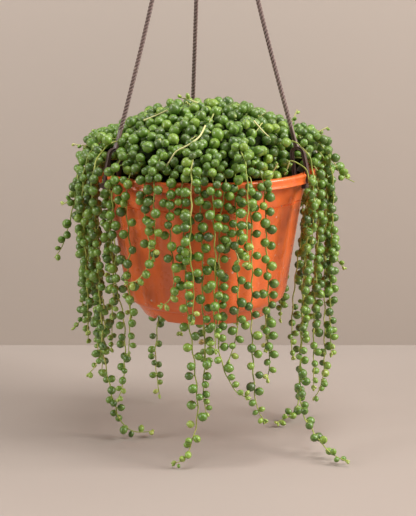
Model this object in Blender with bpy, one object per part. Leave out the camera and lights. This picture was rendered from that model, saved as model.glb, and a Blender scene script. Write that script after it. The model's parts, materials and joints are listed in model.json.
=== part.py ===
"""Hanging string of pearls in its plastic pot.

The pot hangs from three moulded arms whose heads sit in a hook cap. The frame's origin is the
underside of the hook's crown, where it hangs; +Z is up and -Y is the front. All sizes below are
millimetres, and heights are measured from the pot's rim unless a name says otherwise.
"""
import math
import random

import bmesh
import bpy
from mathutils import Matrix, Vector

MM = 0.001

# The pot
RIM_DROP = 300.0            # rim plane below the hook's crown
RIM_RADIUS = 75.0
RIM_TOP_INNER = 69.4
BAND_HEIGHT = 6.6
BAND_THICKNESS = 1.6
RIM_THICKNESS = 2.2
POT_HEIGHT = 100.0
WALL_TOP_RADIUS = 69.0      # outside of the wall, level with the rim
WALL_SLOPE = 0.165          # radius lost for each millimetre down
WALL_THICKNESS = 2.2
STEP_DEPTH = 20.0           # fine step line under the band
STEP_SIZE = 0.5
WALL_END = 86.0
SEAM_RADIUS = 49.0          # fine seam between the rounded shoulder and the foot
SEAM_DEPTH = 91.5
FLOOR_RADIUS = 43.5         # inside corner between wall and floor
FOOT_RADIUS = 43.0
FOOT_WIDTH = 2.6
FLOOR_UNDER = -96.0         # underside of the pot's floor
FLUTES = 24
FLUTE_DEPTH = 1.0
POT_SIDES = 72
FOOT_NOTCHES = (103.0, 223.0, 343.0)
FOOT_NOTCH_RADIUS = 7.5
DRAIN_HOLES = 6
DRAIN_RADIUS = 3.0
DRAIN_CIRCLE = 26.0

# The soil and the crown's core
GAP = 0.35                  # between pieces that touch
SOIL_LEVEL = -6.0
SOIL_EDGE_LEVEL = -9.0
CORE_RADIUS = 60.0
CORE_HEIGHT = 8.0           # level of its widest ring
CORE_TOP = 33.0
CORE_UNDER = 24.0
CORE_SIDES = 24
CROWN_PEARLS = 88
CROWN_PEARL_LIFT = 0.3      # how far a pearl's middle stands out of the core, in radii

# The hook cap and its arms
HOOK_INNER = 12.0
HOOK_THICKNESS = 4.4
HOOK_WIDTH = 7.0
HOOK_FACET = 20.0           # degrees of arc in each flat of the hook
CAP_TOP = 252.0
CAP_THICKNESS = 3.0
CAP_RADIUS = 12.5
ARM_AZIMUTHS = {"left": 205.5, "right": 337.5, "back": 98.5}
ARM_RADIUS = 1.75
FLARE_RADIUS = 2.7          # where the arm untwists above its clip
FLARE_LENGTH = 14.0
ARM_APEX = 282.0            # where the arms' centre lines would meet
ARM_FOOT_RADIUS = 68.7
ARM_FOOT_HEIGHT = 17.0
ARM_HEAD_RADIUS = 2.9
ARM_HEAD_HEIGHT = 2.4
LEG_THICKNESS = 3.4
LEG_WIDTH = 5.0
LEG_SPACING = 9.2
LEG_TOP = 12.0
INNER_LEG_END = -3.0
BAR_LENGTH = 17.0
BAR_SIZE = 3.0
RIM_NOTCH = 13.0

# The strands
STEM_RADIUS = 0.9
TIP_STEM_RADIUS = 0.5
PEARL_RADIUS = 3.25
PEARL_SPREAD = 0.45
PETIOLE = 1.0
NODE_LENGTH = 1.6           # stem between the two rings that carry a pearl
STRIDE = 5                  # one pearl in this many is in the solids
STATION_BEND = 10.0         # between a stem's rings where it bends
STATION_FALL = 30.0         # and where it hangs
RIM_BEND = 44.0             # length of stem that bends over the rim
TIP_BEND = 34.0             # length of stem that bends and thins at the tip
FIRST_PEARL = 9.0
YOUNG_PEARLS = 4.5          # pearls at the tip that are still growing
YOUNG_SIZE = 0.45           # size of the youngest, as a share of a full one
PEARL_ANGLES = (50.0, 112.0)    # how far round the stem a pearl sits from the outward side

# How each layer of strands leaves the crown: radius and height of the points that it passes
LAYERS = {
    "inner": ((60.4, 8.0), (67.0, 8.0), (72.0, 5.6), (75.8, 2.5), (77.7, -2.0)),
    "middle": ((59.0, 13.0), (67.0, 15.4), (75.5, 12.5), (80.8, 4.0)),
    "outer": ((56.6, 19.2), (65.0, 22.5), (76.0, 19.5), (84.0, 8.5)),
}
HANG_RADIUS = {"inner": 78.0, "middle": 82.5, "outer": 87.0}

# Each strand: azimuth at the rim, layer, pearl pitch, the side its pearls take (-1 left, 1 right,
# 0 both), and the points that it hangs through as (drop, sideways, outward)
STRANDS = {
    "front_01": (229.5, "inner", 8.9, -1,
                 ((20, -1, 0), (45, 2, 0), (60, -1, 0), (85, 1, 0), (116, -1, 0))),
    "front_02": (240.0, "inner", 7.2, -1,
                 ((14, -1, 0), (32, 3, 2), (42, 6, 4), (51, 6, 6), (58, 3, 8), (63, -2, 9), (65, -9, 10))),
    "front_03": (246.5, "middle", 7.0, 0, ((15, 0, 0), (34, 1, 1), (48, 0, 2))),
    "front_04": (252.5, "inner", 6.6, -1,
                 ((20, 0, 0), (40, 1, 0), (55, 3, 1), (68, 3, 2), (76, 0, 4), (79, -5, 5))),
    "front_05": (258.8, "inner", 6.4, 0,
                 ((28, 1, 0), (78, 3, 1), (112, 7, 1), (140, 9.5, 2), (156, 9, 2), (172, 5, 3),
                  (181, 1, 4), (184, -6, 5))),
    "front_06": (264.0, "outer", 7.6, 1, ((15, 0, 0), (40, -1, 0), (64, 1, -1), (88, 0, -1))),
    "front_07": (267.5, "inner", 6.8, -1,
                 ((20, 0, 0), (50, 1.5, 0), (76, 1, 0), (114, 2.5, 0), (133, 1, 0), (152, 3, 1))),
    "front_08": (273.5, "middle", 7.2, 0, ((20, 0, 0), (50, 1, 0), (80, 0, -1), (108, 1, 0))),
    "front_09": (279.5, "inner", 6.8, -1,
                 ((12, -2, 0), (31, -4, 0), (75, -5, 1), (95, -6, 1), (114, -4, 2), (128, 1, 3),
                  (136, 6, 4), (140, 13, 5))),
    "front_10": (285.0, "inner", 6.6, 0,
                 ((15, -1, 0), (60, 0, 1), (80, 0, 1), (98, -1, 1), (106, -3, 1), (116, -7, 2))),
    "front_11": (288.0, "outer", 7.4, 1, ((14, 0, 0), (34, -1, 0), (52, 1, 0))),
    "front_12": (292.0, "inner", 6.6, 0,
                 ((20, 0, 0), (60, 0.5, 0), (90, -0.5, 1), (135, 1.5, 1), (150, 4, 1), (159, 9, 2))),
    "front_13": (299.0, "inner", 5.8, 0,
                 ((20, 0.5, 0), (45, 1.5, 0), (75, 3, 0), (95, 1.5, 0), (118, 4, 0), (132, 2, 0))),
    "left_01": (217.0, "inner", 7.4, 0,
                ((25, -1, 0), (60, 1.5, 0), (75, 3, -2), (93, 4, -6), (113, 4, -7), (138, 4, -5),
                 (150, 2, -2))),
    "left_02": (223.0, "middle", 7.6, -1, ((20, 0, 0), (48, 1, -1), (72, 0, 0), (92, -2, 1))),
    "left_03": (211.0, "outer", 7.0, 0,
                ((40, 0, -3), (80, 1, -4), (104, 2, -5), (118, 1, -4), (128, -2, -1), (134, -5, 3))),
    "left_04": (196.5, "inner", 7.2, 0,
                ((40, 0, 0), (100, 0, -3), (127, 0, -5), (145, 0, -8), (157, 0, -10.5), (172, 0, -15),
                 (179, 0, -20), (182.5, 1, -27), (183.5, 0, -38))),
    "left_05": (200.5, "outer", 7.0, 0, ((30, 0, 0), (60, 1, -1), (88, 0, -2), (108, 1, -1))),
    "left_06": (190.5, "middle", 6.8, 0, ((40, 1, -1), (80, -1, -1), (118, 0, 0))),
    "left_07": (186.0, "inner", 6.8, 0,
                ((40, 0, 1), (76, 0, 2), (90, 0, 4), (101, 0, 7), (106, 0, 10), (110, 0, 14))),
    "left_08": (181.5, "outer", 6.4, -1, ((12, 0, 0.5), (25, 0, 3), (41, 0, 7), (55, 0, 12), (62, 0, 17))),
    "left_09": (177.0, "inner", 7.0, 0, ((35, 0, 0), (70, -1, -2), (104, 1, -3), (132, 0, -2))),
    "left_10": (171.0, "outer", 7.0, 0, ((30, 0, 0), (60, 1, -1), (84, -1, -1), (100, 0, 1))),
    "left_11": (164.5, "inner", 7.2, 0, ((40, 0, 0), (80, 1, -2), (118, -1, -3), (150, 1, -1))),
    "left_12": (158.0, "middle", 7.2, 0, ((30, 0, 0), (62, -1, 0), (92, 1, 0), (114, 0, 1))),
    "left_13": (151.0, "inner", 7.4, 0, ((40, 0, 0), (80, -1, -2), (112, 1, -2), (138, 0, 0))),
    "left_14": (143.5, "outer", 7.4, 0, ((30, 0, 0), (58, 1, -1), (86, 0, 0))),
    "back_01": (135.0, "inner", 7.4, 0, ((35, 0, 0), (75, 1, -1), (118, 0, 0))),
    "back_02": (126.5, "middle", 7.6, 0, ((35, 0, 0), (65, -1, 0), (98, 0, 1))),
    "back_03": (119.0, "inner", 7.4, 0,
                ((45, 0, 0), (90, 0, 0), (120, -2, -1), (152, 0, 0), (182, -3, 0))),
    "back_04": (110.5, "outer", 7.6, 0, ((35, 0, 0), (70, 1, 0), (104, 0, 1))),
    "back_05": (104.0, "inner", 7.6, 0, ((35, 0, 0), (70, 1, -1), (105, -1, -1), (136, 0, 0))),
    "back_06": (90.5, "inner", 7.4, 0, ((40, 0, 0), (80, 0, -1), (125, 1, 0), (163, 0, 1))),
    "back_07": (82.0, "outer", 7.8, 0, ((35, 0, 0), (70, -1, 0), (96, 0, 1))),
    "back_08": (73.5, "inner", 7.6, 0, ((40, 0, 0), (80, 1, -1), (128, 0, 0))),
    "back_09": (64.5, "middle", 7.6, 0, ((30, 0, 0), (60, -1, 0), (90, 0, 1))),
    "back_10": (56.0, "inner", 7.4, 0, ((40, 0, 0), (80, 0, -1), (116, 1, 0), (146, 0, 0))),
    "right_01": (331.0, "inner", 7.0, 0,
                 ((49, 0, -1.5), (93, -1.5, -3.5), (109, -2, -4), (134, -2.5, -5), (154, -4, -3.5),
                  (164, -7, 1), (175, -15, 15), (181, -22, 28), (183.5, -26, 41))),
    "right_02": (325.5, "outer", 7.0, 1, ((12, 1, -2), (26, 2, -3), (44, 3, -4))),
    "right_03": (344.0, "inner", 6.6, 0, ((50, 0, 0), (104, 0, -2), (134, 0, -2), (151, 0, -2))),
    "right_04": (348.5, "outer", 6.8, 0, ((30, 0, 0), (64, 1, -1), (98, -1, -1), (128, 0, 0))),
    "right_05": (353.0, "middle", 6.8, 0,
                 ((50, 0, -1), (92, 0, -1), (138, 0, -1), (154, 0, -4), (161, 0, -8))),
    "right_06": (357.5, "outer", 6.2, 0, ((4, 0, 4), (8, 0, 9), (10.5, 0, 14))),
    "right_07": (3.0, "middle", 6.6, 0,
                 ((30, 0, 0), (48, 0, 0), (58, 0, 3), (66, 0, 8), (72, 0, 13))),
    "right_08": (8.5, "inner", 7.0, 0, ((40, 0, 0), (80, 1, -2), (118, 0, -2))),
    "right_09": (14.5, "outer", 7.2, 0, ((30, 0, 0), (62, -1, -1), (92, 0, 0))),
    "right_10": (20.5, "inner", 7.2, 0,
                 ((35, 0, -4), (74, 0, -10), (100, 0, -13), (128, 0, -14), (141, 0, -13))),
    "right_11": (28.0, "middle", 7.2, 0,
                 ((50, 0, -3), (120, 0, -6), (165, 0, -8), (179, -4, -12), (182.5, -10, -22),
                  (183.5, -16, -36))),
    "right_12": (37.0, "outer", 7.6, 0, ((35, 0, 0), (70, 1, -1), (108, 0, 0))),
    "right_13": (46.5, "inner", 7.4, 0, ((40, 0, 0), (80, -1, -1), (122, 0, 0))),
}

POT_COLOUR = (0.56, 0.13, 0.05, 1.0)
HANGER_COLOUR = (0.10, 0.065, 0.055, 1.0)
PLANT_COLOUR = (0.10, 0.27, 0.06, 1.0)
SOIL_COLOUR = (0.035, 0.022, 0.015, 1.0)


def polar(azimuth, radius, height, sideways=0.0):
    """A point at an azimuth and radius from the pot's axis, at a height above the rim."""
    angle = math.radians(azimuth)
    outward = Vector((math.cos(angle), math.sin(angle), 0.0))
    across = Vector((-math.sin(angle), math.cos(angle), 0.0))
    return outward * radius + across * sideways + Vector((0.0, 0.0, height - RIM_DROP))


def new_material(name, colour, roughness):
    material = bpy.data.materials.new(name)
    material.use_nodes = True
    shader = material.node_tree.nodes["Principled BSDF"]
    shader.inputs["Base Color"].default_value = colour
    shader.inputs["Roughness"].default_value = roughness
    shader.inputs["Metallic"].default_value = 0.0
    material.diffuse_color = colour
    return material


def object_from(bm, name, material, smooth_angle=35.0):
    """Turn a bmesh in millimetres into a named object in metres."""
    bmesh.ops.scale(bm, vec=(MM, MM, MM), verts=bm.verts)
    mesh = bpy.data.meshes.new(name)
    bm.to_mesh(mesh)
    bm.free()
    mesh.materials.append(material)
    mesh.shade_smooth()
    mesh.set_sharp_from_angle(angle=math.radians(smooth_angle))
    piece = bpy.data.objects.new(name, mesh)
    bpy.context.scene.collection.objects.link(piece)
    return piece


def turned(profile, sides, radius_at=None):
    """A closed solid turned round the axis from (radius, height) points, both ends on the axis."""
    bm = bmesh.new()
    rows = []
    for row, (radius, height) in enumerate(profile):
        if radius == 0.0:
            rows.append([bm.verts.new((0.0, 0.0, height - RIM_DROP))])
            continue
        ring = []
        for side in range(sides):
            angle = 2.0 * math.pi * side / sides
            here = radius_at(row, radius, angle) if radius_at else radius
            ring.append(bm.verts.new((here * math.cos(angle), here * math.sin(angle), height - RIM_DROP)))
        rows.append(ring)
    for lower, upper in zip(rows, rows[1:]):
        for side in range(sides):
            after = (side + 1) % sides
            if len(lower) == 1:
                bm.faces.new((lower[0], upper[after], upper[side]))
            elif len(upper) == 1:
                bm.faces.new((lower[side], lower[after], upper[0]))
            else:
                bm.faces.new((lower[side], lower[after], upper[after], upper[side]))
    bmesh.ops.recalc_face_normals(bm, faces=bm.faces)
    return bm


def cutter(bm, name):
    """An object that only cuts others: shown as wire and kept out of the part."""
    piece = object_from(bm, name, bpy.data.materials["pot_plastic"])
    piece.display_type = "WIRE"
    piece.hide_render = True
    return piece


def cut_with(piece, tools, name):
    modifier = piece.modifiers.new(name, "BOOLEAN")
    modifier.operation = "DIFFERENCE"
    modifier.solver = "EXACT"
    modifier.operand_type = "COLLECTION"
    modifier.collection = tools


def collect(name, pieces):
    """Move pieces into a collection of their own."""
    group = bpy.data.collections.new(name)
    bpy.context.scene.collection.children.link(group)
    for piece in pieces:
        bpy.context.scene.collection.objects.unlink(piece)
        group.objects.link(piece)
    return group


def block(azimuth, radius, height, size):
    """A box set square to an azimuth; size is (radial, across, upright)."""
    bm = bmesh.new()
    place = Matrix.Translation(polar(azimuth, radius, height))
    turn = Matrix.Rotation(math.radians(azimuth), 4, "Z")
    bmesh.ops.create_cube(bm, size=1.0, matrix=place @ turn @ Matrix.Diagonal((*size, 1.0)))
    return bm


def rod(start, end, radius, sides, end_radius=None):
    """A straight round bar between two points."""
    bm = bmesh.new()
    along = end - start
    turn = along.to_track_quat("Z", "Y").to_matrix().to_4x4()
    place = Matrix.Translation((start + end) / 2.0) @ turn
    bmesh.ops.create_cone(bm, cap_ends=True, segments=sides, radius1=radius,
                          radius2=radius if end_radius is None else end_radius,
                          depth=along.length, matrix=place)
    return bm


def wall_radius(depth):
    """Outside radius of the pot's tapered wall at a depth below the rim."""
    return WALL_TOP_RADIUS - WALL_SLOPE * depth


def pot_profile():
    """Outline of the pot from the middle of its underside, out, up, over the rim and back down."""
    floor_top = FLOOR_UNDER + WALL_THICKNESS
    skirt_inner = RIM_RADIUS - BAND_THICKNESS
    outside = [
        (0.0, FLOOR_UNDER),
        (FOOT_RADIUS - FOOT_WIDTH, FLOOR_UNDER),
        (FOOT_RADIUS - FOOT_WIDTH, -POT_HEIGHT),
        (FOOT_RADIUS, -POT_HEIGHT),
        (SEAM_RADIUS - 0.3, -SEAM_DEPTH - 0.3),
        (SEAM_RADIUS, -SEAM_DEPTH),
        (SEAM_RADIUS + 3.0, -SEAM_DEPTH + 1.6),
        (wall_radius(WALL_END) - 0.8, -WALL_END - 1.8),
    ]
    fluted = [
        (wall_radius(80.0), -80.0),
        (wall_radius(32.0), -32.0),
    ]
    upper = [
        (wall_radius(STEP_DEPTH + 2.0), -STEP_DEPTH - 2.0),
        (wall_radius(STEP_DEPTH), -STEP_DEPTH - 0.3),
        (wall_radius(STEP_DEPTH) + STEP_SIZE, -STEP_DEPTH),
        (wall_radius(RIM_THICKNESS) + STEP_SIZE, -RIM_THICKNESS),
        (skirt_inner, -RIM_THICKNESS),
        (skirt_inner, -BAND_HEIGHT),
        (RIM_RADIUS - 0.3, -BAND_HEIGHT),
        (RIM_RADIUS, -1.0),
        (RIM_RADIUS - 1.0, 0.0),
        (RIM_TOP_INNER, 0.0),
        (wall_radius(2.0) - WALL_THICKNESS, -2.0),
        (wall_radius(WALL_END) - WALL_THICKNESS, -WALL_END),
        (FLOOR_RADIUS, floor_top),
        (0.0, floor_top),
    ]
    fluted_rows = range(len(outside), len(outside) + len(fluted))
    return outside + fluted + upper, fluted_rows


def build_pot(material):
    profile, fluted_rows = pot_profile()

    def fluted_radius(row, radius, angle):
        if row in fluted_rows:
            return radius - FLUTE_DEPTH * 0.5 * (1.0 - math.cos(FLUTES * angle))
        return radius

    pot = object_from(turned(profile, POT_SIDES, fluted_radius), "pot", material)
    cutters = []
    for name, azimuth in ARM_AZIMUTHS.items():
        reach = 12.0
        inner = wall_radius(0.0) + STEP_SIZE + 0.9
        notch = block(azimuth, inner + reach / 2.0, -BAND_HEIGHT / 2.0, (reach, RIM_NOTCH, BAND_HEIGHT + 4.0))
        cutters.append(cutter(notch, f"rim_notch_{name}"))
    for count, azimuth in enumerate(FOOT_NOTCHES):
        arch = rod(polar(azimuth, FOOT_RADIUS - 8.0, -POT_HEIGHT - 3.0),
                   polar(azimuth, FOOT_RADIUS + 8.0, -POT_HEIGHT - 3.0), FOOT_NOTCH_RADIUS, 16)
        cutters.append(cutter(arch, f"foot_notch_{count + 1}"))
    for count in range(DRAIN_HOLES):
        azimuth = 30.0 + 360.0 * count / DRAIN_HOLES
        under = polar(azimuth, DRAIN_CIRCLE, -POT_HEIGHT)
        hole = rod(under, under + Vector((0.0, 0.0, 12.0)), DRAIN_RADIUS, 10)
        cutters.append(cutter(hole, f"drain_{count + 1}"))
    cut_with(pot, collect("pot_cutters", cutters), "notches_and_holes")
    return pot


def build_soil(material):
    floor = FLOOR_UNDER + WALL_THICKNESS + GAP
    inside = WALL_THICKNESS + GAP + 0.05
    profile = [
        (0.0, floor),
        (FLOOR_RADIUS - GAP, floor),
        (wall_radius(WALL_END) - inside, -WALL_END),
        (wall_radius(-SOIL_EDGE_LEVEL) - inside, SOIL_EDGE_LEVEL),
        (54.0, SOIL_LEVEL),
        (0.0, SOIL_LEVEL),
    ]
    return object_from(turned(profile, 32), "soil", material)


def offset_strip(points, half):
    """The two edges of a strip of even thickness along a line of (x, z) points."""
    left = []
    right = []
    for index, point in enumerate(points):
        before = points[max(index - 1, 0)]
        after = points[min(index + 1, len(points) - 1)]
        first = (point - before).normalized() if index else (after - point).normalized()
        second = (after - point).normalized() if index < len(points) - 1 else first
        normal = Vector((-first.y - second.y, first.x + second.x)).normalized()
        reach = half / max(normal.dot(Vector((-first.y, first.x))), 0.3)
        left.append(point + normal * reach)
        right.append(point - normal * reach)
    return left, right


def strip_solid(points, half, width, azimuth, lift):
    """A strip bent in the upright plane at an azimuth, with its width across that plane."""
    left, right = offset_strip([Vector(point) for point in points], half)
    outline = left + right[::-1]
    bm = bmesh.new()
    near = [bm.verts.new(polar(azimuth, u, v + lift, -width / 2.0)) for u, v in outline]
    far = [bm.verts.new(polar(azimuth, u, v + lift, width / 2.0)) for u, v in outline]
    last = len(points) - 1
    for index in range(last):
        other = len(outline) - 1 - index
        bm.faces.new((near[index], near[index + 1], near[other - 1], near[other]))
        bm.faces.new((far[index], far[other], far[other - 1], far[index + 1]))
    for index in range(len(outline)):
        after = (index + 1) % len(outline)
        bm.faces.new((near[index], far[index], far[after], near[after]))
    bmesh.ops.recalc_face_normals(bm, faces=bm.faces)
    return bm


def fuse(solids, name, material):
    """Join solids that sink into each other into one body with a Boolean union."""
    body = object_from(solids[0], name, material)
    others = [object_from(bm, f"{name}_{index}", material) for index, bm in enumerate(solids[1:])]
    group = collect(f"{name}_pieces", others)
    modifier = body.modifiers.new("union", "BOOLEAN")
    modifier.operation = "UNION"
    modifier.solver = "EXACT"
    modifier.operand_type = "COLLECTION"
    modifier.collection = group
    evaluated = body.evaluated_get(bpy.context.evaluated_depsgraph_get())
    joined = bpy.data.meshes.new_from_object(evaluated)
    joined.name = name
    body.modifiers.clear()
    old = body.data
    body.data = joined
    bpy.data.meshes.remove(old)
    for piece in others:
        bpy.data.objects.remove(piece)
    bpy.data.collections.remove(group)
    joined.materials.clear()
    joined.materials.append(material)
    return body


def hook_line():
    """Middle line of the hook, as (x, height above the rim): up from the cap, round and to its tip."""
    half = HOOK_THICKNESS / 2.0
    arc_radius = (HOOK_INNER + half) / math.cos(math.radians(HOOK_FACET / 2.0))
    middle = RIM_DROP - HOOK_INNER
    line = [(0.0, CAP_TOP - 2.0), (0.0, CAP_TOP + 5.0), (-5.0, CAP_TOP + 11.0), (-11.5, CAP_TOP + 17.5),
            (-arc_radius, CAP_TOP + 25.0)]
    steps = int(180.0 / HOOK_FACET)
    for step in range(steps + 1):
        angle = math.radians(180.0 - HOOK_FACET * step)
        line.append((arc_radius * math.cos(angle), middle + arc_radius * math.sin(angle)))
    line.append((arc_radius, middle - 4.0))
    line.append((arc_radius + 2.0, middle - 9.0))
    return line


def build_hook(material):
    hook = strip_solid(hook_line(), HOOK_THICKNESS / 2.0, HOOK_WIDTH, 0.0, 0.0)
    cap_bottom = CAP_TOP - CAP_THICKNESS
    plate = rod(polar(0.0, 0.0, cap_bottom), polar(0.0, 0.0, CAP_TOP), CAP_RADIUS, 30)
    body = fuse([plate, hook], "hook", material)
    slot_width = 2.0 * (ARM_RADIUS + GAP)
    slots = []
    for name, azimuth in ARM_AZIMUTHS.items():
        inner = arm_radius_at(CAP_TOP) - ARM_RADIUS - 0.8
        reach = 14.0
        slot = block(azimuth, inner + reach / 2.0, CAP_TOP - CAP_THICKNESS / 2.0, (reach, slot_width, 8.0))
        slots.append(cutter(slot, f"cap_slot_{name}"))
    cut_with(body, collect("cap_cutters", slots), "arm_slots")
    return body


def arm_radius_at(height):
    """Distance of an arm's middle line from the axis at a height above the rim."""
    return ARM_FOOT_RADIUS * (ARM_APEX - height) / (ARM_APEX - ARM_FOOT_HEIGHT)


def clip_line():
    """Middle line of the clip that straddles the rim, as (radius, height)."""
    half = LEG_SPACING / 2.0
    outer = ARM_FOOT_RADIUS + half
    inner = ARM_FOOT_RADIUS - half
    line = [(outer, -BAND_HEIGHT - GAP - BAR_SIZE), (outer, LEG_TOP)]
    for degrees in (45.0, 90.0, 135.0):
        angle = math.radians(degrees)
        line.append((ARM_FOOT_RADIUS + half * math.cos(angle), LEG_TOP + half * math.sin(angle)))
    line.append((inner, LEG_TOP))
    line.append((inner, INNER_LEG_END))
    return line


def build_arm(name, azimuth, material):
    """One arm: a head above the cap, a straight bar, and a clip with a crossbar under the rim."""
    top = CAP_TOP + GAP + 1.0
    bar = rod(polar(azimuth, arm_radius_at(ARM_FOOT_HEIGHT), ARM_FOOT_HEIGHT),
              polar(azimuth, arm_radius_at(top), top), ARM_RADIUS, 6)
    head = rod(polar(azimuth, arm_radius_at(CAP_TOP), CAP_TOP + GAP),
               polar(azimuth, arm_radius_at(CAP_TOP), CAP_TOP + GAP + ARM_HEAD_HEIGHT), ARM_HEAD_RADIUS, 10)
    flare_top = ARM_FOOT_HEIGHT + FLARE_LENGTH
    flare = rod(polar(azimuth, ARM_FOOT_RADIUS, ARM_FOOT_HEIGHT - 1.0),
                polar(azimuth, arm_radius_at(flare_top), flare_top), FLARE_RADIUS, 6, ARM_RADIUS + 0.15)
    clip = strip_solid(clip_line(), LEG_THICKNESS / 2.0, LEG_WIDTH, azimuth, 0.0)
    crossbar = block(azimuth, ARM_FOOT_RADIUS + LEG_SPACING / 2.0, -BAND_HEIGHT - GAP - BAR_SIZE / 2.0,
                     (BAR_SIZE, BAR_LENGTH, BAR_SIZE))
    return fuse([bar, head, flare, clip, crossbar], f"arm_{name}", material)


def smooth_route(points, spacing=2.0):
    """Evenly spaced points along a smooth curve through the given ones."""
    ends = [points[0] * 2.0 - points[1]] + list(points) + [points[-1] * 2.0 - points[-2]]
    dense = []
    for before, start, end, after in zip(ends, ends[1:], ends[2:], ends[3:]):
        pieces = max(int((end - start).length / 0.5), 2)
        for piece in range(pieces):
            t = piece / pieces
            dense.append(0.5 * (2.0 * start + (end - before) * t
                                + (2.0 * before - 5.0 * start + 4.0 * end - after) * t * t
                                + (3.0 * start - before - 3.0 * end + after) * t * t * t))
    dense.append(points[-1])
    route = [dense[0]]
    travelled = 0.0
    for here, there in zip(dense, dense[1:]):
        travelled += (there - here).length
        if travelled >= spacing:
            route.append(there)
            travelled = 0.0
    if (route[-1] - dense[-1]).length < spacing / 2.0:
        route.pop()
    route.append(dense[-1])
    return route


def strand_route(azimuth, layer, bends):
    """From the crown over the rim, then hanging through the strand's own points."""
    points = [polar(azimuth, radius, height) for radius, height in LAYERS[layer]]
    radius = HANG_RADIUS[layer]
    if bends[0][0] > 12.0:
        points.append(polar(azimuth, radius, -9.0))
    for drop, sideways, outward in bends:
        points.append(polar(azimuth, radius + outward, -drop, sideways))
    return smooth_route(points)


class Route:
    """A strand's line, read by the distance from its root."""

    def __init__(self, points, azimuth):
        self.points = points
        self.marks = [0.0]
        for here, there in zip(points, points[1:]):
            self.marks.append(self.marks[-1] + (there - here).length)
        self.length = self.marks[-1]
        angle = math.radians(azimuth)
        self.outward = Vector((math.cos(angle), math.sin(angle), 0.0))

    def at(self, distance):
        """The point, the direction along the stem and two directions square to it."""
        index = 0
        while index < len(self.marks) - 2 and self.marks[index + 1] < distance:
            index += 1
        here, there = self.points[index], self.points[index + 1]
        span = self.marks[index + 1] - self.marks[index]
        place = here.lerp(there, min(max((distance - self.marks[index]) / span, 0.0), 1.0))
        back = self.points[max(index - 1, 0)]
        ahead = self.points[min(index + 2, len(self.points) - 1)]
        along = (ahead - back).normalized()
        front = self.outward - along * self.outward.dot(along)
        if front.length < 0.35:
            front = Vector((0.0, 0.0, 1.0)) - along * along.z
        front.normalize()
        return place, along, front, along.cross(front)


def pearl_rule(number, route, pitch, lean):
    """Every pearl of a strand: distance from the root, angle round the stem and radius."""
    draw = random.Random(7000 + number)
    distance = FIRST_PEARL + draw.uniform(0.0, pitch)
    pearls = []
    turn = draw.choice((-1, 1))
    while distance < route.length - 1.5:
        turn = -turn
        side = lean if lean and draw.random() < 0.85 else turn
        angle = side * draw.uniform(*PEARL_ANGLES)
        left = (route.length - distance) / (YOUNG_PEARLS * pitch)
        young = min(1.0, YOUNG_SIZE + (1.0 - YOUNG_SIZE) * left)
        radius = young * (PEARL_RADIUS + draw.uniform(-1.0, 1.0) * PEARL_SPREAD)
        pearls.append((distance, angle, radius))
        distance += pitch * (0.5 + 0.5 * young) * draw.uniform(0.85, 1.15)
    return pearls


def segment_distance(point, start, end):
    along = end - start
    share = min(max((point - start).dot(along) / along.length_squared, 0.0), 1.0)
    return (point - start - along * share).length


def hanger_lines():
    """Middle lines of the arms and clips with the reach round them, for keeping the plant clear."""
    lines = []
    leg_reach = math.hypot(LEG_THICKNESS, LEG_WIDTH) / 2.0
    for azimuth in ARM_AZIMUTHS.values():
        lines.append((polar(azimuth, arm_radius_at(ARM_FOOT_HEIGHT), ARM_FOOT_HEIGHT),
                      polar(azimuth, arm_radius_at(CAP_TOP), CAP_TOP), FLARE_RADIUS))
        clip = [polar(azimuth, radius, height) for radius, height in clip_line()]
        lines += [(here, there, leg_reach) for here, there in zip(clip, clip[1:])]
        bar_height = -BAND_HEIGHT - GAP - BAR_SIZE / 2.0
        outer = ARM_FOOT_RADIUS + LEG_SPACING / 2.0
        lines.append((polar(azimuth, outer, bar_height, -BAR_LENGTH / 2.0),
                      polar(azimuth, outer, bar_height, BAR_LENGTH / 2.0), BAR_SIZE / math.sqrt(2.0)))
    return lines


def clear_of_pot(point, reach):
    """Whether a ball clears the pot, the soil and the crown's core."""
    radius = math.hypot(point.x, point.y)
    height = point.z + RIM_DROP
    room = reach + GAP
    upright = CORE_TOP if height > CORE_HEIGHT else CORE_UNDER
    across = radius / (CORE_RADIUS + room)
    if across * across + ((height - CORE_HEIGHT) / (upright + room)) ** 2 < 1.0:
        return False
    if height > 0.0:
        beside = max(0.0, radius - RIM_RADIUS, wall_radius(0.0) - WALL_THICKNESS - radius)
        return math.hypot(beside, height) > room
    if radius < RIM_TOP_INNER:
        return False
    outside = RIM_RADIUS if height > -BAND_HEIGHT - room else wall_radius(-height - room) + STEP_SIZE
    return radius - outside > room


class Clearance:
    """Everything that a new pearl has to stay clear of."""

    def __init__(self, routes):
        self.routes = routes
        self.hanger = hanger_lines()
        self.balls = []

    def free(self, owner, point, reach):
        if not clear_of_pot(point, reach):
            return False
        for start, end, around in self.hanger:
            if segment_distance(point, start, end) < reach + around + GAP:
                return False
        for name, route in self.routes.items():
            room = reach + (PETIOLE * 0.6 if name == owner else STEM_RADIUS + GAP)
            middle = route.points[len(route.points) // 2]
            if (point - middle).length > route.length + room:
                continue
            for start, end in zip(route.points, route.points[1:]):
                if segment_distance(point, start, end) < room:
                    return False
        for other, place, size in self.balls:
            if (point - place).length < reach + size + (GAP / 2.0 if other == owner else GAP):
                return False
        return True


def icosahedron():
    """Corners and faces of a ball of 20 triangles, with its first face square to -Z."""
    bm = bmesh.new()
    bmesh.ops.create_icosphere(bm, subdivisions=1, radius=1.0)
    bm.faces.ensure_lookup_table()
    bm.faces[0].normal_update()
    turn = bm.faces[0].normal.rotation_difference(Vector((0.0, 0.0, -1.0))).to_matrix()
    bmesh.ops.rotate(bm, cent=(0.0, 0.0, 0.0), matrix=turn, verts=bm.verts)
    bm.verts.index_update()
    corners = [vert.co.copy() for vert in bm.verts]
    faces = [[vert.index for vert in face.verts] for face in bm.faces]
    bm.free()
    return corners, faces


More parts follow.
